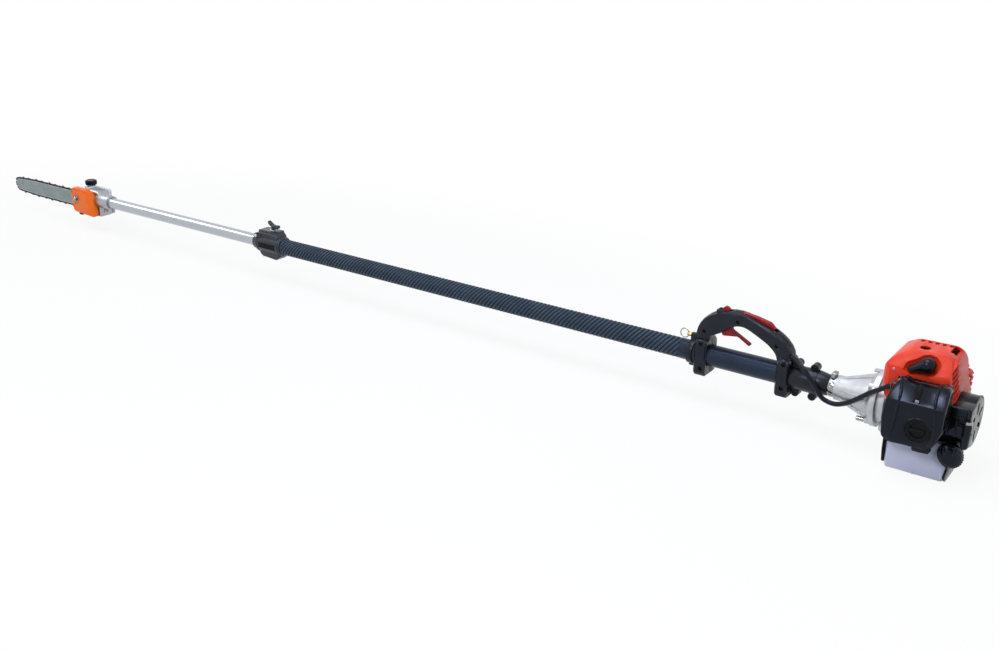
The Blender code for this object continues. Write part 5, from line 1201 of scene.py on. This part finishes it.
# %% Gear case
finished_copy("gearbox_housing", 0.0008, 28)
CASE_LEFT, CASE_RIGHT, CASE_SCREW, LOW_HEAD = 0.0098, -0.0298, 0.0034, 0.0024
screws("gear_case_screws", "gearbox_housing",
       [(GEAR_AT - 0.0300, CASE_LEFT, 0.0205), (GEAR_AT - 0.0310, CASE_LEFT, -0.0440)], LEFT, CASE_SCREW,
       chrome, LOW_HEAD)
screws("gear_case_back_screws", "gearbox_housing",
       [(GEAR_AT - 0.0280, CASE_RIGHT, 0.0190), (GEAR_AT + 0.0300, CASE_RIGHT, 0.0190),
        (GEAR_AT - 0.0290, CASE_RIGHT, -0.0400)], (0, -1, 0), CASE_SCREW, machined_steel, LOW_HEAD)
FINS, FIRST_FIN, FIN_STEP, HALF_FIN = 5, -0.0240, 0.0110, 0.0012
fins = []
for step in range(FINS):
    x = GEAR_AT + FIRST_FIN + FIN_STEP * step
    fin = sheet("fin", [(-0.0240, 0.0270), (-0.0240, 0.0300), (-0.0020, 0.0300), (-0.0020, 0.0270)], "X",
                x - HALF_FIN, x + HALF_FIN)
    fins.append(rounded(fin, 0.0007))
settle(gathered("gear_case_fins", fins), "gearbox_housing", stands_for=False)
print("gear case fins:", len(fins))

# %% [markdown]
# ## Telescope clamp
# The clamp's black body gets end rims, a dark window in each side and low grip ribs on its lower
# jaw. A bright hinge screw passes through two round ears at its front corner, and a washer lies
# under the winged knob.

# %% Clamp
low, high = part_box("clamp_body")
rear, front = low[0], high[0]
finished_copy("clamp_body", 0.0008, 28)
RIM_FOOT, RIM_CREST, RIM_WIDTH = 0.0245, 0.0264, 0.0035
rims = []
for x in (rear + 0.0050, front - 0.0230):
    rims.append(rounded(ring("rim", ON_AXIS, FORWARD, [
        (x, RIM_FOOT), (x, RIM_CREST - 0.0006), (x + 0.0006, RIM_CREST), (x + RIM_WIDTH - 0.0006, RIM_CREST),
        (x + RIM_WIDTH, RIM_CREST - 0.0006), (x + RIM_WIDTH, RIM_FOOT)], TUBE_SIDES), 0))
settle(gathered("clamp_rims", rims), "clamp_body", stands_for=False)
WINDOW_SINK, WINDOW_OUT, HALF_WINDOW = 0.0015, 0.0003, 0.0070
for name, inner, outer in (("clamp_window_left", high[1] - WINDOW_SINK, high[1] + WINDOW_OUT),
                           ("clamp_window_right", low[1] - WINDOW_OUT, low[1] + WINDOW_SINK)):
    window = sheet(name, [(rear + 0.0140, -HALF_WINDOW), (front - 0.0280, -HALF_WINDOW),
                          (front - 0.0280, HALF_WINDOW), (rear + 0.0140, HALF_WINDOW)], "Y", inner, outer)
    trim(window, "clamp_body", dull_black, 0.0002, 1)
print("clamp rims:", len(rims))

# %% Clamp jaw and hinge
JAW_RIBS, FIRST_RIB, RIB_STEP, HALF_RIB = 6, 0.0230, 0.0100, 0.0022
bars = []
for step in range(JAW_RIBS):
    x = rear + FIRST_RIB + RIB_STEP * step
    bar = sheet("bar", [(-0.0120, -0.0330), (-0.0120, -0.0366), (0.0120, -0.0366), (0.0120, -0.0330)], "X",
                x - HALF_RIB, x + HALF_RIB)
    bars.append(rounded(bar, 0.0012))
settle(gathered("clamp_jaw_ribs", bars), "clamp_body", stands_for=False)
HINGE = (front - 0.0165, 0, 0.0220)
trim(lathe("clamp_hinge_screw", HINGE, LEFT, [
    (-0.0235, 0.0032), (-0.0230, 0.0040), (-0.0200, 0.0040), (-0.0200, 0.0022), (0.0200, 0.0022),
    (0.0200, 0.0040), (0.0230, 0.0040), (0.0235, 0.0032)], 24), "clamp_body", zinc_plate)
EAR = [(0.0080, 0.0072), (0.0205, 0.0072), (0.0212, 0.0064)]
ears = [rounded(lathe("ear", HINGE, (0, side, 0), EAR, 28), 0) for side in (1, -1)]
settle(gathered("clamp_hinge_ears", ears), "clamp_body", stands_for=False)
STUD_TILT = math.radians(15)
stud = Vector((-math.sin(STUD_TILT), 0, math.cos(STUD_TILT)))
stud_foot = Vector((rear + 0.0463, 0, 0.0192))
trim(ring("clamp_knob_washer", stud_foot + stud * 0.0215, stud, [
    (0, 0.0043), (0, 0.0085), (0.0003, 0.0088), (0.0015, 0.0088), (0.0018, 0.0085), (0.0018, 0.0043)], 32),
    "clamp_knob", zinc_plate)
print("jaw ribs:", len(bars))

# %% [markdown]
# ## Stop switch
# The stop switch has three ridges for the thumb. Each is a short bent wire laid across it, a step
# higher than the one behind.

# %% Switch ridges
RIDGES, FIRST_RIDGE, RIDGE_STEP, RIDGE_RISE, RIDGE_RADIUS = 3, 0.0020, 0.0022, 0.0012, 0.0006
low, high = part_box("stop_switch")
ridges = []
for step in range(RIDGES):
    x, z = low[0] + FIRST_RIDGE + RIDGE_STEP * step, high[2] - AXIS - 0.0046 + RIDGE_RISE * step
    ridges.append(wire("ridge", [(x, low[1] + 0.0010, z), (x, 0, z + 0.0004), (x, high[1] - 0.0010, z)],
                       RIDGE_RADIUS, 2))
settle(gathered("stop_switch_ridges", ridges), "stop_switch", stands_for=False)
print("switch ridges:", len(ridges))

# %% [markdown]
# ## Seam of the tank
# Two mould halves leave a fine raised line where they meet. A thin slice of the tank's own shape
# is kept, closed on both sides and made a little larger, so that it stands out all round.

# %% Fuel tank seam
SEAM_FRONT, SEAM_REAR, SEAM_GROWTH = -0.0040, -0.0056, (1, 1.008, 1.020)
seam = bare_copy("fuel_tank")
seam.name = seam.data.name = "fuel_tank_seam"
low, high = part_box("fuel_tank")
middle = [(a + b) / 2 for a, b in zip(low, high)]
bpy.ops.object.mode_set(mode="EDIT")
for x, inner, outer in ((SEAM_FRONT, False, True), (SEAM_REAR, True, False)):
    bpy.ops.mesh.select_all(action="SELECT")
    bpy.ops.mesh.bisect(plane_co=(x, 0, 0), plane_no=FORWARD, use_fill=True, clear_inner=inner,
                        clear_outer=outer)
bpy.ops.mesh.select_all(action="SELECT")
bpy.ops.transform.resize(value=SEAM_GROWTH, center_override=middle)
outwards()
bpy.ops.object.mode_set(mode="OBJECT")
settle(rounded(seam, 0, angle=40), "fuel_tank", stands_for=False)
print("seam faces:", len(seam.data.polygons))

# %% [markdown]
# ## The other nodes
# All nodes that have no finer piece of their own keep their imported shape, merged and with rounded
# edges. Where a width is 0, only the shading is smoothed.

# %% Finish what is left
WIDTHS = {"cylinder": 0.0, "crankcase": 0.0010, "muffler": 0.0010, "muffler_guard": 0.0008, "oil_tank": 0.0,
          "air_cleaner_base": 0.0006, "tank_guard": 0.0006, "plug_boot": 0.0, "flywheel": 0.0003,
          "fuel_line": 0.0}
for node in sorted(frame["nodes"]):
    if node not in DONE:
        width = WIDTHS.get(node, SMALL_ROUND)
        finished_copy(node, width, 30 if width else 40)
print("nodes with a finished copy or a finer piece:", len(DONE), "of", len(frame["nodes"]))

# %% [markdown]
# ## Floor, light and background
# A product photograph is lit by large soft lamps in a white room. The floor and the world look
# white to the camera and to mirrors, while the light that falls on the machine stays at a plain
# level, so colours render as they are written. The floor keeps a faint shadow near the machine
# and is plain white further off, so no horizon shows. The last lamp stands beyond the saw, where
# the long tubes mirror it to the camera, and draws the bright line along them that polished tubes
# have.

# %% Floor
def seen_directly(tree):
    """1 for the rays of the camera, of mirrors and of glass, 0 for the light that falls on things."""
    rays = add(tree, "ShaderNodeLightPath")
    direct = add(tree, "ShaderNodeMath",
                 {0: rays.outputs["Is Camera Ray"], 1: rays.outputs["Is Glossy Ray"]}, operation="MAXIMUM")
    return add(tree, "ShaderNodeMath", {0: direct.outputs[0], 1: rays.outputs["Is Transmission Ray"]},
               operation="MAXIMUM").outputs[0]


FLOOR_SIZE, FLOOR_GAP, NEAR_SHARE = 60, 0.0005, 0.88
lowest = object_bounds()[0][2]
bpy.ops.object.select_all(action="DESELECT")
bpy.ops.mesh.primitive_plane_add(size=FLOOR_SIZE, location=(0, 0, lowest - FLOOR_GAP))
floor = bpy.context.object
floor.name = "studio_floor"
white = bpy.data.materials.new("white_floor")
white.use_nodes = True
tree = white.node_tree
tree.nodes.clear()
spot = add(tree, "ShaderNodeTexCoord").outputs["Object"]
# An oval round the machine: its length and width set how far the shadow's share reaches.
near = add(tree, "ShaderNodeMapping", {"Vector": spot, "Location": (-0.55, 0.0, 0.0),
                                       "Scale": (0.38, 0.9, 1.0)})
reach = add(tree, "ShaderNodeVectorMath", {0: near.outputs[0]}, operation="LENGTH").outputs["Value"]
share = add(tree, "ShaderNodeMapRange", {"Value": reach, "From Min": 0.35, "From Max": 1.0,
                                         "To Min": NEAR_SHARE, "To Max": 1.0},
            interpolation_type="SMOOTHSTEP").outputs["Result"]
paint = add(tree, "ShaderNodeBsdfDiffuse", {"Color": linear("#F6F6F6")})
glow = add(tree, "ShaderNodeEmission", {"Color": linear("#FFFFFF"), "Strength": 1.0})
seen = add(tree, "ShaderNodeMath", {0: seen_directly(tree), 1: share}, operation="MULTIPLY")
blend = add(tree, "ShaderNodeMixShader", {0: seen.outputs[0], 1: paint.outputs[0], 2: glow.outputs[0]})
add(tree, "ShaderNodeOutputMaterial", {"Surface": blend.outputs[0]})
clothe(floor, white)
print("floor at", round(lowest, 4))

# %% World and lamps
ROOM_LIGHT = 0.28
world = bpy.data.worlds.new("studio")
scene.world = world
world.use_nodes = True
tree = world.node_tree
tree.nodes.clear()
room = add(tree, "ShaderNodeBackground", {"Color": linear("#EAF0FA"), "Strength": ROOM_LIGHT})
backdrop = add(tree, "ShaderNodeBackground", {"Color": linear("#FFFFFF"), "Strength": 1.0})
either = add(tree, "ShaderNodeMixShader",
             {0: seen_directly(tree), 1: room.outputs[0], 2: backdrop.outputs[0]})
add(tree, "ShaderNodeOutputWorld", {"Surface": either.outputs[0]})


def lamp(name, place, target, size, power, code):
    """A square soft lamp at a place, facing a target."""
    data = bpy.data.lights.new(name, "AREA")
    data.size = size
    data.energy = power
    data.color = linear(code)[:3]
    made = bpy.data.objects.new(name, data)
    scene.collection.objects.link(made)
    aim = (Vector(target) - Vector(place)).normalized()
    made.matrix_world = Matrix.Translation(place) @ aim.to_track_quat("-Z", "Y").to_matrix().to_4x4()


lamp("top_lamp", (0.6, 0.2, 2.4), (0.8, 0.0, 0.1), 1.4, 36, "#EDF3FF")
lamp("engine_lamp", (0.52, 1.9, 1.75), (0.05, 0.0, 0.1), 0.6, 17, "#FBFCFF")
lamp("far_lamp", (2.6, 0.9, 1.7), (2.4, 0.0, 0.1), 0.8, 9, "#FFFFFF")
lamp("glint_lamp", (4.0, 0.5, 1.6), (1.9, 0.0, 0.1), 0.8, 8, "#FFFFFF")
scene.view_settings.view_transform = "Standard"
print("studio ready")
